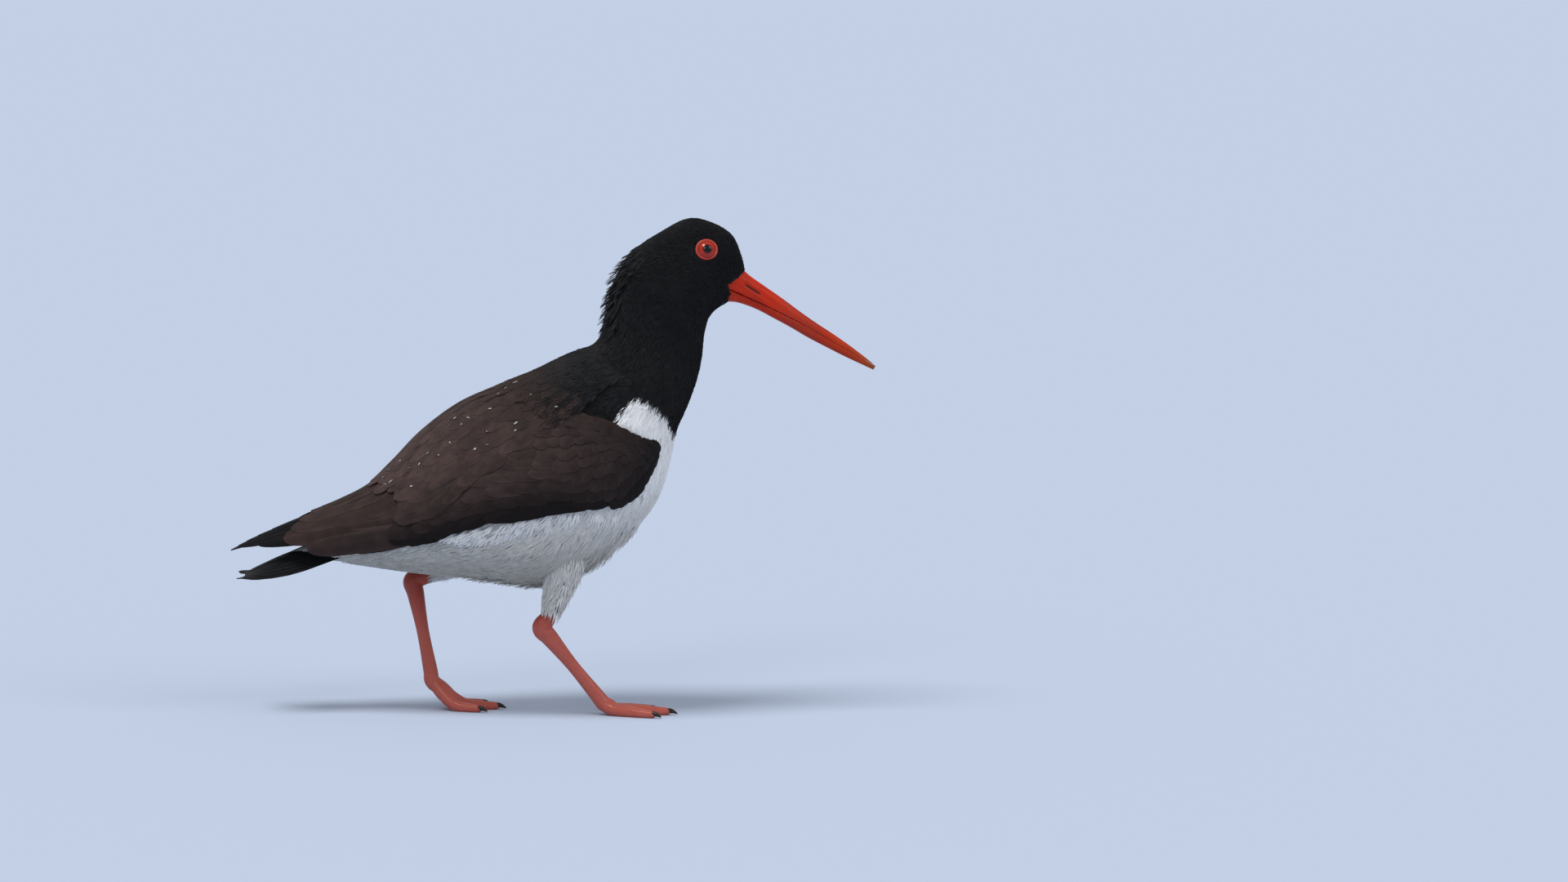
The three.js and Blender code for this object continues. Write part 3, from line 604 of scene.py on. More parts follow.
class Paint:
    """A material being made. Inputs are named with _ for a space."""

    def __init__(self, name, **values):
        self.material = bpy.data.materials.new(name)
        self.material.use_nodes = True
        self.tree = self.material.node_tree
        self.shader = self.tree.nodes["Principled BSDF"]
        for key, value in values.items():
            self.feed(self.shader.inputs[key.replace("_", " ")], value)

    def feed(self, socket, value):
        """Links another node's output to a socket, or sets a constant there."""
        if isinstance(value, bpy.types.NodeSocket):
            self.tree.links.new(value, socket)
        else:
            socket.default_value = value

    def node(self, kind, *inputs, out=0, settings=None, **named):
        """The output of a new node, with inputs in their order or by name."""
        node = self.tree.nodes.new("ShaderNode" + kind)
        for key, value in (settings or {}).items():
            setattr(node, key, value)
        for socket, value in zip(node.inputs, inputs):
            self.feed(socket, value)
        for key, value in named.items():
            self.feed(node.inputs[key.replace("_", " ")], value)
        return node.outputs[out]

    def math(self, operation, *inputs):
        return self.node("Math", *inputs, settings={"operation": operation})

    def place(self):
        return self.node("TexCoord", out="Object")

    def noise(self, scale, detail=3.0, place=None, stretch=(1, 1, 1)):
        stretched = self.node("Mapping", place or self.place(), Scale=stretch)
        return self.node("TexNoise", Vector=stretched, Scale=scale, Detail=detail)

    def span(self, value, low, high, to_low, to_high):
        """A value carried from one range to another."""
        return self.node("MapRange", value, From_Min=low, From_Max=high, To_Min=to_low, To_Max=to_high)

    def tinted(self, factor):
        """Makes the base colour the mesh's own tint times a factor."""
        tint = self.node("VertexColor", settings={"layer_name": "Tint"})
        scaled = self.node("VectorMath", tint, settings={"operation": "SCALE"}, Scale=factor)
        self.feed(self.shader.inputs["Base Color"], scaled)

    def bumped(self, height, strength, distance):
        normal = self.node("Bump", Strength=strength, Distance=distance, Height=height)
        self.feed(self.shader.inputs["Normal"], normal)


def plumage(name, roughness, mottle=0.2, sheen=0.0, barbs=0.0):
    """Feathers: the tint of each, mottled, with the barbs as fine slanting ridges."""
    paint = Paint(
        name, Roughness=roughness, Sheen_Weight=sheen, Sheen_Roughness=0.5, Specular_IOR_Level=0.12
    )
    paint.tinted(paint.span(paint.noise(140), 0.3, 0.7, 1 - mottle, 1 + mottle))
    if barbs:
        lines = paint.node("UVMap", settings={"uv_map": "Vane"})
        from_shaft = paint.math("ABSOLUTE", paint.node("SeparateXYZ", lines, out="X"))
        slant = paint.math("SUBTRACT", paint.node("SeparateXYZ", lines, out="Y"), from_shaft)
        paint.bumped(paint.math("SINE", paint.math("MULTIPLY", slant, 95)), barbs, 0.0002)
    return paint.material


def horn(name, roughness, streaks):
    """Horn, streaked lengthwise and a little blotched."""
    paint = Paint(name, Roughness=roughness, Specular_IOR_Level=0.22)
    lengthwise = paint.node("Mapping", paint.place(), Rotation=(0, math.radians(-30), 0))
    fine = paint.noise(260, 5, lengthwise, stretch=(0.16, 1, 1))
    streak = paint.span(fine, 0.25, 0.75, 1 - streaks, 1 + streaks)
    blotch = paint.span(paint.noise(90, 4), 0.62, 0.8, 1.0, 0.6)
    paint.tinted(paint.math("MULTIPLY", streak, blotch))
    paint.bumped(fine, 0.5, 0.0004)
    return paint.material


def scaly(name, scale, strength):
    """Bare damp skin: small scales with dark seams."""
    paint = Paint(name, Roughness=0.42, Coat_Weight=0.3, Coat_Roughness=0.2)
    edges = {"feature": "DISTANCE_TO_EDGE"}
    cells = paint.node("TexVoronoi", settings=edges, Vector=paint.place(), Scale=scale)
    seam = paint.span(cells, 0.0, 0.16, 0.0, 1.0)
    paint.tinted(paint.span(seam, 0.0, 1.0, 0.68, 1.0))
    paint.bumped(seam, strength, 0.0004)
    return paint.material


def eye_material():
    """The eyeball: its painted rings under a clear wet coat."""
    paint = Paint(
        "eye_wet", Roughness=0.4, Coat_Weight=0.7, Coat_Roughness=0.02, IOR=1.35, Specular_IOR_Level=0.1
    )
    paint.tinted(paint.span(paint.noise(900, 4), 0.3, 0.7, 0.75, 1.25))
    return paint.material


soft_black = plumage("plumage_dark", 0.6, sheen=0.05)
soft_white = plumage("plumage_pale", 0.75, mottle=0.05, sheen=0.1)
firm = plumage("flight_feather", 0.55, mottle=0.22, barbs=0.35)
bill_horn = horn("bill_horn", 0.42, 0.24)
leg_scales = scaly("leg_scales", 1350, 0.5)
claw_horn = horn("claw_horn", 0.3, 0.2)
eye_wet = eye_material()
lid_skin = scaly("lid_skin", 1700, 0.2)


# The skin under the coat

RUMP_DEPTH = 1.5
THIGH_DEPTH = 1.4
SKIN_VOXEL = 0.0012


def skin():
    """One skin for head, neck, torso and thighs, inside the solids by the coat's depth."""
    parts = [tube(Oval(BODY, coat_depth), 160, 96)]
    parts.append(tube(Oval(RUMP, lambda along: RUMP_DEPTH + 0 * along), 30, 48))
    parts += [tube(thigh(leg, THIGH_DEPTH), 40, 40) for leg in LEGS.values()]
    obj = mesh_object("skin", *joined(parts))
    remesh = obj.modifiers.new("whole", "REMESH")
    remesh.mode = "VOXEL"
    remesh.voxel_size = SKIN_VOXEL
    smooth = obj.modifiers.new("soft", "SMOOTH")
    smooth.factor = 0.5
    smooth.iterations = 4
    depsgraph = bpy.context.evaluated_depsgraph_get()
    whole = bpy.data.meshes.new_from_object(obj.evaluated_get(depsgraph))
    obj.modifiers.clear()
    obj.data = whole
    whole.polygons.foreach_set("use_smooth", np.full(len(whole.polygons), True))
    co = np.zeros(len(whole.vertices) * 3, np.float32)
    whole.vertices.foreach_get("co", co)
    points = co.reshape(-1, 3) * 1000 - SHIFT
    in_bill = points[:, 0] > np.interp(points[:, 2], *FEATHER_EDGE) - 0.4
    points[:, 1] *= np.where(in_bill & (points[:, 2] > 205), 0.5, 1.0)
    whole.vertices.foreach_set("co", metres(points).astype(np.float32).ravel())
    replaced = ("head", "neck", "torso", "thigh_right", "thigh_left")
    dress(obj, body_tint(points) * 0.9, soft_black, "plumage_white", *replaced)


# The soft coat

# Pieces of the coat: stations, spacing, and a tuft's length, width and tip over the solids' surface
FACE_COATS = {
    "coat_face": ((0.02, 2.4), 0.72, 2.5, 0.5, 0.05),
    "coat_head": ((2.4, 5.2), 0.9, 3.6, 0.55, 0.05),
}
NECK_COATS = {
    "coat_neck": ((5.2, 7.5), 1.05, 5.0, 0.65, 0.1),
    "coat_neck_base": ((7.5, 10.7), 1.3, 7.5, 0.8, 0.1),
}
BREAST_COAT = ((10.6, 14.2), 1.6, 9.0, 1.35, 0.1)
BELLY_COAT = ((14.2, 19.9), 1.95, 11.0, 1.5, 0.12)
# How far the nape's feathers stand up, by station, as a share
NAPE_RISE = [[5.7, 6.6, 8.4, 9.0], [0.3, 1, 1, 0.4]]
# Where the flank's lower edge stands over the belly, by x, as a share, and how high and how far up
FLANK_ENDS = [[-60, -40, 25, 40], [0, 1, 1, 0]]
FLANK_RISE, FLANK_FADE = 1.7, 9
FLANK_TUFTS = 150


def off_the_face(points, places):
    """Away from the bill's zone and the eyes."""
    clear = points[:, 0] < np.interp(points[:, 2], *FEATHER_EDGE) - 0.2
    for side in (-1, 1):
        ring = turned(np.array([[0, side * EYE_RING["depth"], 0]]), side)
        clear &= np.linalg.norm(points - ring, axis=-1) > EYE_RING["radius"] + 0.45
    return clear


def seen(points, places):
    return np.abs(places[:, 1]) > np.interp(places[:, 0], *SEEN_FROM)


def flank_ledge(places):
    """How far the flank's long feathers stand over the belly's along their lower edge."""
    points = body.point(places[:, 0], places[:, 1])
    above = points[:, 2] - np.interp(points[:, 0], *FLANK_EDGE)
    ends = np.interp(points[:, 0], *FLANK_ENDS)
    return FLANK_RISE * ends * np.where(above > 0, np.exp(-((above / FLANK_FADE) ** 2)), 0)


def cover(coat, along, spacing, length, width, tip, root=-0.95, keep=None, **ways):
    """Covers the body between two stations. root is the roots' height in depths of the coat."""
    places = scatter(body, spacing, along, keep=keep)
    depth = coat_depth(places[:, 0])
    heights = np.stack([root * depth, -0.3 * depth, tip + 0 * depth], -1)
    heights = heights + flank_ledge(places)[:, None] * [0, 0.6, 1]
    tufts(coat, body, places, length, width, heights, **ways)


def head_and_neck():
    for coats, ways in ((FACE_COATS, {"keep": off_the_face, "wild": 7}), (NECK_COATS, {})):
        for name, sizes in coats.items():
            coat = Coat(name)
            cover(coat, *sizes, **ways)
            coat.build(soft_black, "plumage_black")
    nape = Coat("coat_nape")
    places = scatter(body, 2.6, (5.7, 9.0), (-40, 40))
    stand = rng.uniform(1.4, 4.2, len(places)) * np.interp(places[:, 0], *NAPE_RISE)
    heights = np.stack([-0.6 + 0 * stand, 0.35 * stand, stand], -1)
    tufts(nape, body, places, 8.0, 0.9, heights, blades=4, spread=7, wild=11)
    nape.build(soft_black, "plumage_black")


def breast():
    coat = Coat("coat_breast")
    cover(coat, *BREAST_COAT, root=-0.6, keep=seen, spread=8)
    coat.build(soft_white, "plumage_white")


def belly():
    """The belly's coat, its loose feathers, and the flank's feathers up to the wing's lower edge."""
    coat = Coat("coat_belly")
    cover(coat, *BELLY_COAT, root=-0.6, keep=seen, spread=8)
    loose = scatter(body, 3.4, (13.6, 17.2), (150, 210))
    stand = rng.uniform(0.6, 2.6, len(loose))
    heights = np.stack([-0.8 + 0 * stand, 0.3 * stand, stand], -1)
    tufts(coat, body, loose, 10.0, 0.9, heights, wild=12)
    for side in (-1, 1):
        along = rng.uniform(3.6, 6.4, FLANK_TUFTS)
        below = rng.uniform(0, 11, FLANK_TUFTS)
        edge = np.stack([along, side * (np.interp(along, *WING_LOW) + below)], -1)
        heights = np.stack([-3.8 + 0 * below, -1.4 - 0.12 * below, 0.3 - 0.17 * below], -1)
        tufts(coat, wings, edge, 7.5, 1.3, heights, way=-side * 16, tint=WHITE * 0.88)
    coat.build(soft_white, "plumage_white")


def thigh_coat():
    coat = Coat("coat_thighs")
    for leg in LEGS.values():
        limb = thigh(leg)
        places = scatter(limb, 1.6, (0.1, 1.97))
        # Whiter down the thigh towards the cuff, taking back some of the body's painted shade and stains
        clean_and_lit = 0.5 * np.clip((places[:, 0:1] - 0.2) / 0.9, 0, 1)
        shade = mixed(body_tint(limb.point(places[:, 0], places[:, 1])), WHITE, clean_and_lit)
        tufts(coat, limb, places, 7.0, 0.9, [-1.3, -0.4, 0.3], tint=shade)
        wisps = scatter(limb, 6.0, (0.5, 1.8), (110, 250))
        tufts(coat, limb, wisps, 8.0, 0.7, [-0.8, 0.3, 1.6], tint=WHITE * 0.8, wild=8)
    coat.build(soft_white, "plumage_white")


def mantle():
    """Soft feathers between the neck and the wings."""
    coat = Coat("coat_mantle")
    for surface, along, across, spacing, length, width, tip in (
        (body, (10.0, 12.0), (-85, 85), 1.6, 8.5, 1.1, 0.4),
        (wings, (0.0, 2.4), (-70, 70), 1.8, 9.5, 1.4, 0.75),
    ):
        places = scatter(surface, spacing, along, across)
        points = surface.point(places[:, 0] + 0.3, places[:, 1])
        shade = mixed(BLACK, BROWN * 0.38, np.clip((14 - points[:, 0:1]) / 32, 0, 1))
        white = white_share(points)[:, None] * (points[:, 0:1] > 29)
        heights = [tip - 1.6, tip - 0.45, tip]
        tufts(coat, surface, places, length, width, heights, spread=9, tint=mixed(shade, WHITE, white))
    coat.build(soft_black, "plumage_black")


# Wings and tail

# Long feathers of the wing, each with its root's and tip's place, its width and its height over the surface
PRIMARIES = [
    [[8.8, 64], [10.9, 50], 9, -1.6],
    [[8.7, 52], [11.5, 28], 9, -1.45],
    [[8.6, 40], [12.0, 12], 9, -1.3],
    [[8.5, 30], [11.6, 9], 8.5, -1.1],
    [[8.4, 20], [11.15, 7], 8, -0.9],
    [[8.3, 12], [10.7, 5], 8, -0.7],
    [[8.2, 5], [10.2, 2], 8, -0.5],
]
SECONDARIES = [
    [[6.2, 76], [8.2, 84], 11, -0.5],
    [[6.35, 77], [8.4, 88], 11, -0.5],
    [[6.5, 77], [8.6, 90], 11, -0.5],
    [[6.7, 76], [8.8, 91], 11, -0.5],
    [[6.9, 75], [9.0, 92], 11, -0.5],
    [[7.1, 73], [9.3, 93], 10, -0.55],
    [[7.4, 70], [9.6, 92], 10, -0.6],
]
TERTIALS = [
    [[6.1, 62], [10.15, 53], 14.5, 0.05],
    [[5.9, 78], [9.9, 85], 13, 0.3],
    [[5.9, 47], [9.75, 35], 13.5, 0.2],
    [[5.8, 31], [9.4, 20], 12.5, 0.3],
    [[5.7, 17], [9.0, 9], 11.5, 0.4],
    [[5.6, 6], [8.6, 3], 10.5, 0.5],
]
# Where the rows of coverts and scapulars stop over the long feathers: degrees from the back, stations
ROWS_END = [[0, 25, 45, 65, 84, 91], [7.3, 6.95, 6.8, 7.1, 7.9, 8.0]]
# Down the wing from the upper edge, 0, to the lower, 1
COVERT_SHARES = [0.94, 0.85, 0.76, 0.66, 0.57, 0.48, 0.38, 0.29, 0.2, 0.1]
SCAPULAR_ANGLES = [64, 55, 46, 37, 28, 19, 10, 2]
# By station: a covert's length in stations and width, and how far up the wing its root lies from its tip
COVERT_LENGTH = [[1.4, 2.2, 3.4, 5, 8], [0.3, 0.45, 0.7, 1.15, 1.6]]
COVERT_WIDTH = [[1.4, 2.2, 3.4, 5, 8], [4.5, 5.5, 8, 10.5, 12]]
COVERT_SLANT = [[1.5, 3, 8], [0.05, 0.1, 0.14]]
# The length of a station
STATION = 22
# How light the brown is, by station and by degrees above the lower edge: darkest at the bend and along
# that edge, lightest on the upper back
TONE_ALONG = [[1.4, 2.4, 3.4, 4.6, 5.8, 7.2, 9.5], [0.38, 0.54, 0.76, 1.0, 1.2, 1.08, 0.85]]
TONE_ABOVE = [[3, 8, 15, 24, 34, 46], [0.07, 0.12, 0.3, 0.49, 0.64, 0.78]]
FLECKS = 26


def wing_place(along, share):
    """A place between the wing's upper edge, share 0, and its lower edge, share 1."""
    top, low = np.interp(along, *WING_TOP), np.interp(along, *WING_LOW)
    return np.stack([along, top + (low - top) * share], -1)


def long_vane(t):
    return rounded(t, root=0.8, full=0.3, tip_from=0.78)


def pointed_vane(t):
    return rounded(t, root=0.8, full=0.2, tip_from=0.45)


def tail_vane(t):
    return rounded(t, root=0.5, full=0.5, tip_from=0.86, tip=0.12)


def long_feathers(coat, side, rows, tint, shape, edge):
    flip = np.array([1, side])
    start, finish, width, height = (np.array(column, float) for column in zip(*rows))
    tip = height + 0.04 * side
    heights = np.stack([tip - 1.6, tip - 0.25, tip], -1)
    vanes(coat, wings, start * flip, finish * flip, width, heights, tint, rings=18, crown=0.25,
          roll=side * 0.2, shape=shape, edge=edge, ragged=0.012)


def short_feathers(coat, side, start, finish, width, height):
    """One row of coverts or scapulars, with the height of its tips over the surface."""
    flip = np.array([1, side])
    above = np.interp(finish[:, 0], *WING_LOW) - finish[:, 1]
    tone = np.interp(finish[:, 0], *TONE_ALONG) * np.interp(above, *TONE_ABOVE)
    heights = [height - 1.2, height - 0.25, height]
    shade = tone[:, None] * BROWN
    vanes(coat, wings, start * flip, finish * flip, width, heights, shade, roll=side * 0.16)


def row_places(first, last, wide=1.0):
    """Places along a row, half a feather's width apart."""
    places = [first]
    while places[-1] < last:
        places.append(places[-1] + 0.55 * (np.interp(places[-1], *COVERT_WIDTH) * wide) / STATION)
    return np.array(places)


def stopped(tips, across):
    """The tips that don't run over the long feathers."""
    return tips[tips < np.interp(across, *ROWS_END) + rng.uniform(-0.35, 0.2)]


def coverts(coat, side):
    """Rows of coverts, from the wing's lower edge up."""
    for row, share in enumerate(COVERT_SHARES):
        front = 1.45 + 0.5 * abs(share - 0.8)
        tips = row_places(front + 0.12 + 0.1 * (row % 2), 8.0)
        tips = stopped(tips, wing_place(tips, share)[:, 1])
        tips = tips + rng.normal(0, 0.05, len(tips))
        length = np.interp(tips, *COVERT_LENGTH) * (1.1 if share > 0.9 else 1.0)
        start = wing_place(np.maximum(tips - length, front - 0.1), share - np.interp(tips, *COVERT_SLANT))
        finish = wing_place(tips, share + rng.normal(0, 0.012, len(tips)))
        width = np.interp(tips, *COVERT_WIDTH) * rng.uniform(0.9, 1.1, len(tips))
        short_feathers(coat, side, start, finish, width, 0.05 + 0.55 * (1 - share))


def scapulars(coat, side):
    """Rows of scapulars over the upper wing, up to the back's midline."""
    for row, angle in enumerate(SCAPULAR_ANGLES):
        front = np.interp(angle, [0, 64], [2.3, 1.9])
        tips = stopped(row_places(front + 0.12 * (row % 2), 8.3, wide=1.1), angle)
        tips = tips + rng.normal(0, 0.06, len(tips))
        length = np.interp(tips, *COVERT_LENGTH) * 1.2 * rng.uniform(0.85, 1.15, len(tips))
        start = np.stack([tips - length, angle - 5 + rng.normal(0, 1.5, len(tips))], -1)
        finish = np.stack([tips, angle + rng.normal(0, 1.5, len(tips))], -1)
        width = np.interp(tips, *COVERT_WIDTH) * rng.uniform(0.95, 1.25, len(tips))
        short_feathers(coat, side, start, finish, width, 0.6 + 0.15 * (1 - angle / 64))


def wing_sheet(coat, side):
    """The wing's own body under its feathers, one thin sheet."""
    along, share = np.meshgrid(np.linspace(1.55, 9.4, 44), np.linspace(0.04, 0.92, 15), indexing="ij")
    across = wing_place(along, share)[..., 1] * side
    point = wings.point(along, across)
    normal = wings.slopes(along, across)[2]
    top, bottom = point - 1.2 * normal, point - 1.8 * normal
    rings = np.concatenate([top, bottom[:, ::-1]], axis=1)[None]
    if side > 0:
        rings = rings[:, ::-1]
    section = np.concatenate([share[0], share[0][::-1]])[:, None] * 2 - 1
    coat.add(rings, BROWN_DARK * 0.8, np.array([[0.5, 0.5]]), 150, 60, section)


def flecks(coat, side):
    """Small pale flecks on the back."""
    along = rng.uniform(2.2, 6.6, FLECKS)
    across = side * rng.uniform(14, 66, FLECKS) * np.interp(along, [2, 6], [1.0, 0.75])
    places = np.stack([along, across], -1)
    tips = headed(wings, places, rng.uniform(-60, 60, FLECKS), rng.uniform(0.6, 2.6, FLECKS))
    shade = np.full((FLECKS, 3), 1.0) * rng.uniform(0.15, 0.7, (FLECKS, 1)) ** 1.3
    width = rng.uniform(0.4, 1.0, FLECKS)
    vanes(coat, wings, places, tips, width, [1.0, 1.25, 1.15], shade, rings=5, crown=0.1)


def wing(name, side):
    coat = Coat(f"wing_feathers_{name}")
    wing_sheet(coat, side)
    long_feathers(coat, side, PRIMARIES, BLACK * 0.45, pointed_vane, 1.15)
    long_feathers(coat, side, SECONDARIES, TERTIAL * 0.6, long_vane, 1.2)
    long_feathers(coat, side, TERTIALS, TERTIAL * 0.8, long_vane, 1.35)
    coverts(coat, side)
    scapulars(coat, side)
    flecks(coat, side)
    coat.build(firm, "flight_feathers", f"wing_{name}")


def off_the_tail(points, places):
    """Over the tail's root, and under it farther back."""
    return (places[:, 0] < 1.5) | (np.abs(places[:, 1]) > 110)


def tail_feathers():
    """The tail's feathers in pairs, the middle pair on top, with the white coverts of their roots."""
    coat = Coat("tail_feathers")
    for rank in range(TAIL_PAIRS - 1, -1, -1):
        across = (rank + 0.45) / TAIL_PAIRS
        reach = 1 + 0.03 * (rank == TAIL_PAIRS - 1) - 0.015 * (rank % 2)
        heights = [-0.8 * rank - 0.5, -0.6 * rank - 0.1, -0.45 * rank]
        for side in (-1, 1):
            start, finish = [[0, side * across * 0.8]], [[reach, side * across]]
            vanes(coat, tail, start, finish, 12, heights, BLACK * 0.3, rings=16, crown=0.3,
                  roll=side * -0.3, shape=tail_vane)
    places = scatter(rump, 1.9, (0.0, 2.5), keep=off_the_tail)
    height = rump.point(places[:, 0], places[:, 1])[:, 2:3]
    # Greyer towards the bottom of the rump's coverts: partly stains, partly painted shade
    shade = mixed(STAINED_AND_SHADED, WHITE, np.clip((height - 74) / 16, 0, 1))
    tufts(coat, rump, places, 12, 1.3, [-1.0, -0.4, 0.1], blades=4, tint=shade)
    coat.build(soft_white, "flight_feathers", "tail")


# Bill, eyes and legs


def bill():
    """The two halves of the bill, parted by the line of the mouth."""
    rings, around = 170, 72
    grid = ring_grid(Oval(BILL), rings, around)
    line = np.interp(grid[..., 0], *MOUTH)
    for name, sign in (("upper", 1), ("lower", -1)):
        points = grid.copy()
        held = sign * (line - points[..., 2]) > -0.12
        points[..., 2] = np.where(held, line + sign * 0.15, points[..., 2])
        points[..., 1] *= np.where(held, 0.93, 1.0)
        if name == "upper":
            points = with_nostril(points)
        ends = np.stack([points[0].mean(0), points[-1].mean(0)])
        points = np.vstack([points.reshape(-1, 3), ends])
        obj = mesh_object(f"bill_{name}_horn", points, ring_faces(rings, around, pole=True))
        dress(obj, bill_tint(points), bill_horn, "bill", f"bill_{name}")


def along_nostril(points):
    """How far points are along and across the nostril's slit, from its middle."""
    slope = math.radians(NOSTRIL["slope"])
    dx, dz = points[..., 0] - NOSTRIL["x"], points[..., 2] - NOSTRIL["z"]
    return dx * math.cos(slope) - dz * math.sin(slope), dx * math.sin(slope) + dz * math.cos(slope)


def hump(values, half, power=2):
    """1 at 0, falling off smoothly past a half width."""
    return np.exp(-((values / half) ** power))


def with_nostril(points):
    """Sinks the slit and the long groove that it lies in."""
    along, across = along_nostril(points)
    groove = hump(across, 1.5) * hump(along - 6, 13, 4)
    slit = hump(across, 0.4) * hump(along, NOSTRIL["length"] / 2, 6)
    inward = 0.6 * groove + 1.1 * slit
    points[..., 1] -= np.sign(points[..., 1]) * np.minimum(inward, np.abs(points[..., 1]) * 0.6)
    return points


def bill_tint(points):
    """Orange red, with a horn-coloured tip, a dark nostril, and a faint smear of mud on the near side."""
    x, z = points[:, 0], points[:, 2]
    along, across = along_nostril(points)
    slit = hump(across, 0.5) * hump(along, NOSTRIL["length"] / 2, 6)
    smear = hump(across + 1.6, 1.2) * hump(along + 1, 9, 4)
    smear = smear * (0.35 + 0.15 * np.sin(x * 2.3) * np.sin(z * 1.9))
    mud = 0.3 * hump(x - 127, 11, 4) * (0.5 + 0.5 * np.sin(x * 1.7 + z)) * (points[:, 1] < 0)
    muddy = mixed(ramp(x, BILL_STOPS, BILL_COLOURS), MUD, mud[:, None])
    return mixed(muddy, NOSTRIL_DARK, np.clip(slit + smear, 0, 0.95)[:, None])


def turned(points, side):
    """Points of an eye that looks along +y, set at that eye's place and tilt."""
    a, b = side * EYE["up"], -side * EYE["forward"]
    tilt = np.array([[1, 0, 0], [0, math.cos(a), -math.sin(a)], [0, math.sin(a), math.cos(a)]])
    swing = np.array([[math.cos(b), -math.sin(b), 0], [math.sin(b), math.cos(b), 0], [0, 0, 1]])
    return points @ tilt.T @ swing.T + np.array([EYE["x"], side * EYE["y"], EYE["z"]])


def eye(name, side):
    """The eyeball, with a slight bulge in front and fine spokes in the iris."""
    rings, around = 60, 64
    polar = np.linspace(0.001, math.pi - 0.001, rings)[:, None]
    turn = np.linspace(0, 2 * math.pi, around, endpoint=False)[None, :]
    off_axis = EYE["radius"] * np.sin(polar)
    bulge = 0.45 * hump(off_axis, 3.4, 4) * (polar < CORNEA_ANGLE)
    y = EYE["radius"] * np.cos(polar) + bulge + 0 * turn
    points = np.stack([off_axis * np.cos(turn), side * y, off_axis * np.sin(turn)], -1).reshape(-1, 3)
    quads = ring_faces(rings, around)[0][:, ::-side]
    caps = np.stack([np.arange(around)[:: -side], (rings - 1) * around + np.arange(around)[::side]])
    out = np.broadcast_to(off_axis, (rings, around)).reshape(-1)
    front = side * points[:, 1:2] > 0
    spokes = 1 + 0.18 * np.sin(np.tile(turn[0], rings) * 23) * (out > 2.5) * (out < 4.7)
    tint = ramp(out, EYE_STOPS, EYE_COLOURS) * spokes[:, None]
    obj = mesh_object(f"eyeball_{name}", turned(points, side), [quads, caps])
    dress(obj, np.where(front, tint, colour(EYE_COLOURS[-1])), eye_wet, "eye", f"eye_{name}")
    lid(name, side)


def lid(name, side):
    """The bare ring of skin round the eye, folded into small pleats."""
    big, small = 144, 20
    turn = np.linspace(0, 2 * math.pi, big, endpoint=False)[:, None]
    section = np.linspace(0, 2 * math.pi, small, endpoint=False)[None, :]
    radius = EYE_RING["tube"] * (1 + 0.04 * np.sin(turn * 31) + 0.06 * np.sin(turn + 0.7))
    reach = EYE_RING["radius"] + radius * np.cos(section) * 1.15
    y = EYE_RING["depth"] + radius * np.sin(section) * 0.95
    grid = np.stack([reach * np.cos(turn), side * y, reach * np.sin(turn) * 0.93], -1)
    i, j = np.meshgrid(np.arange(big), np.arange(small), indexing="ij")
    n, m = (i + 1) % big, (j + 1) % small
    quads = np.stack([i * small + j, i * small + m, n * small + m, n * small + j], -1).reshape(-1, 4)
    obj = mesh_object(f"eye_lid_{name}", turned(grid.reshape(-1, 3), side), [quads[:, ::side]])
    dress(obj, LID_RED, lid_skin, "bill")


def on_the_floor(parts):
    """Parts as one, with nothing below the floor."""
    points, faces = joined(parts)
    points[:, 2] = np.maximum(points[:, 2], 0.0)
    return points, faces


def leg(name, data):
    """Shank, ankle, tarsus and toes as one skin with scutes, and the claws."""
    cuff, ankle, knuckle = (np.array(data[key], float) for key in ("cuff", "ankle", "knuckle"))
    bend_height = min(knuckle[2] * 0.5, 5.4) + 0.2
    path = [cuff + (ankle - cuff) * s for s in (-0.5, 0.0, 0.5)] + [ankle]
    path += [ankle + (knuckle - ankle) * s for s in (0.14, 0.5, 0.88, 1.0)]
    ahead = np.array([TOES["middle"][0] * data["toe_bend"], 0, bend_height - knuckle[2]])
    path += [knuckle + ahead * s for s in (0.45, 0.9, 1.3)]
    parts = [tube(Limb(path, LEG_RADII), 190, 40)]
    claws = []
    for length, angle in TOES.values():
        turn = math.radians(data["side"] * angle)
        part, claw = toe(knuckle, length, turn, length * data["toe_bend"], bend_height)
        parts.append(part)
        claws.append(claw)
    points, faces = on_the_floor(parts)
    red = np.clip((points[:, 2:3] - 40) / 20, 0, 1)
    obj = mesh_object(f"leg_skin_{name}", points, faces)
    bones = (f"{part}_{name}" for part in ("shank", "tarsus", "foot"))
    dress(obj, mixed(LEG_PINK, ANKLE_RED, red), leg_scales, "leg_skin", *bones)
    obj = mesh_object(f"claws_{name}", *on_the_floor(claws))
    dress(obj, CLAW_DARK, claw_horn, "claw", *(f"claw_{name}_{toe_name}" for toe_name in TOES))


def toe(knuckle, length, turn, bend, bend_height):
    """One toe from the knuckle, bent down to the floor, and its claw."""
    x, y, z = knuckle

    def reach(r, height):
        return [x + r * math.cos(turn), y + r * math.sin(turn), height]

    route = [reach(0, z), reach(bend, bend_height), reach(length * 0.6, 2.4)]
    route += [reach(length, 1.9), reach(length + 1.2, 1.9)]
    points, faces = tube(Limb(route, TOE_RADII), 110, 32)
    claw = [reach(length - 1, 2.3), reach(length + CLAW / 2, 2.1), reach(length + CLAW, 0.8)]
    return (with_scutes(points, 110, 32, length), faces), tube(Limb(claw, CLAW_RADII), 24, 20)


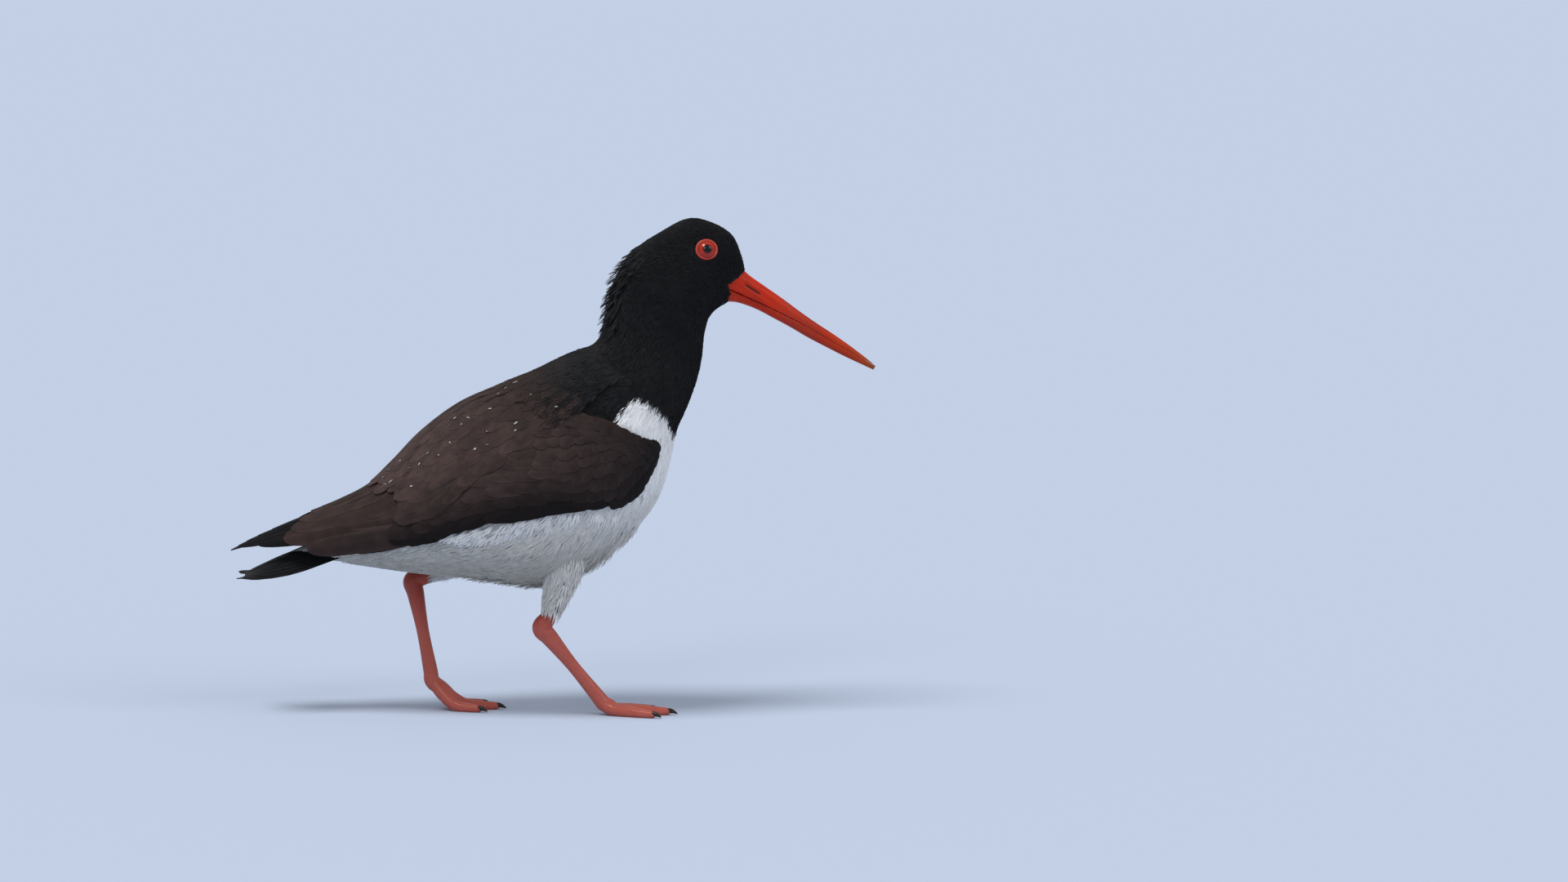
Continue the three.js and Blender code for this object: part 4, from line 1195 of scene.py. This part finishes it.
def with_scutes(points, rings, around, length):
    """Raises a row of plates across the top of a toe."""
    grid = points[: rings * around].reshape(rings, around, 3)
    middle = grid.mean(axis=1, keepdims=True)
    t = np.linspace(0, 1, rings)[:, None]
    across = np.arange(around)[None, :] * 2 * math.pi / around
    top = np.clip(np.cos(across), 0, 1) ** 0.5
    saw = (t * length / SCUTE) % 1
    rise = 0.07 * np.sqrt(np.maximum(1 - (2 * saw - 1) ** 2, 0)) * top * (t > 0.1) * (t < 0.95)
    grid = middle + (grid - middle) * (1 + rise[..., None])
    return np.vstack([grid.reshape(-1, 3), points[rings * around :]])


# Stage

FLOOR_HALF = 30
FLOOR_COLOUR = (0.5, 0.577, 0.73, 1)
SKY_COLOUR, SKY_STRENGTH = (0.9, 0.94, 1.0, 1), 0.42
# Soft suns: the way to each, its strength and its breadth in degrees
SUNS = {
    "key": ((-0.35, -0.3, 1.0), 1.9, 25),
    "fill": ((-0.2, -0.8, 0.55), 0.35, 20),
    "front": ((0.75, -0.4, 0.6), 0.5, 30),
}
SUN_COLOUR = (1.0, 0.985, 0.96)
# The camera's distance in metres, its angle over the floor, the width of its view and what it looks at
CAMERA_DISTANCE, CAMERA_ANGLE = 8.0, 6
VIEW_WIDTH = 1920 * 0.42
TARGET = [119.28, 0, 140.35]
SENSOR = 36


def add_object(name, data):
    obj = bpy.data.objects.new(name, data)
    bpy.context.scene.collection.objects.link(obj)
    return obj


def stage():
    """A plain pale floor, an even sky and soft suns."""
    mesh = bpy.data.meshes.new("floor")
    corners = [(i * FLOOR_HALF, j * FLOOR_HALF, 0) for i, j in ((-1, -1), (1, -1), (1, 1), (-1, 1))]
    mesh.from_pydata(corners, [], [(0, 1, 2, 3)])
    floor = add_object("floor", mesh)
    mesh.materials.append(Paint("floor_paint", Base_Color=FLOOR_COLOUR, Roughness=0.9).material)
    world = bpy.data.worlds.new("studio")
    bpy.context.scene.world = world
    world.use_nodes = True
    sky = world.node_tree.nodes["Background"].inputs
    sky["Color"].default_value = SKY_COLOUR
    sky["Strength"].default_value = SKY_STRENGTH
    for name, (way, strength, breadth) in SUNS.items():
        light = bpy.data.lights.new(name, "SUN")
        light.energy = strength
        light.angle = math.radians(breadth)
        light.color = SUN_COLOUR
        add_object(name, light).rotation_euler = Vector(way).to_track_quat("Z", "Y").to_euler()


def camera():
    """The photo's view: a little over the water, from the bird's right side."""
    elevation = math.radians(CAMERA_ANGLE)
    data = bpy.data.cameras.new("camera")
    data.sensor_width = SENSOR
    data.lens = SENSOR * CAMERA_DISTANCE * 1000 / VIEW_WIDTH
    data.clip_end = 100
    obj = add_object("camera", data)
    offset = Vector((0, -math.cos(elevation), math.sin(elevation))) * CAMERA_DISTANCE
    obj.location = Vector(metres(TARGET)) + offset
    obj.rotation_euler = (-offset).to_track_quat("-Z", "Y").to_euler()
    bpy.context.scene.camera = obj


camera()
stage()
bpy.context.scene.view_settings.view_transform = "Standard"
skin()
head_and_neck()
breast()
belly()
thigh_coat()
mantle()
wing("right", -1)
wing("left", 1)
tail_feathers()
bill()
for name, data in LEGS.items():
    eye(name, data["side"])
    leg(name, data)
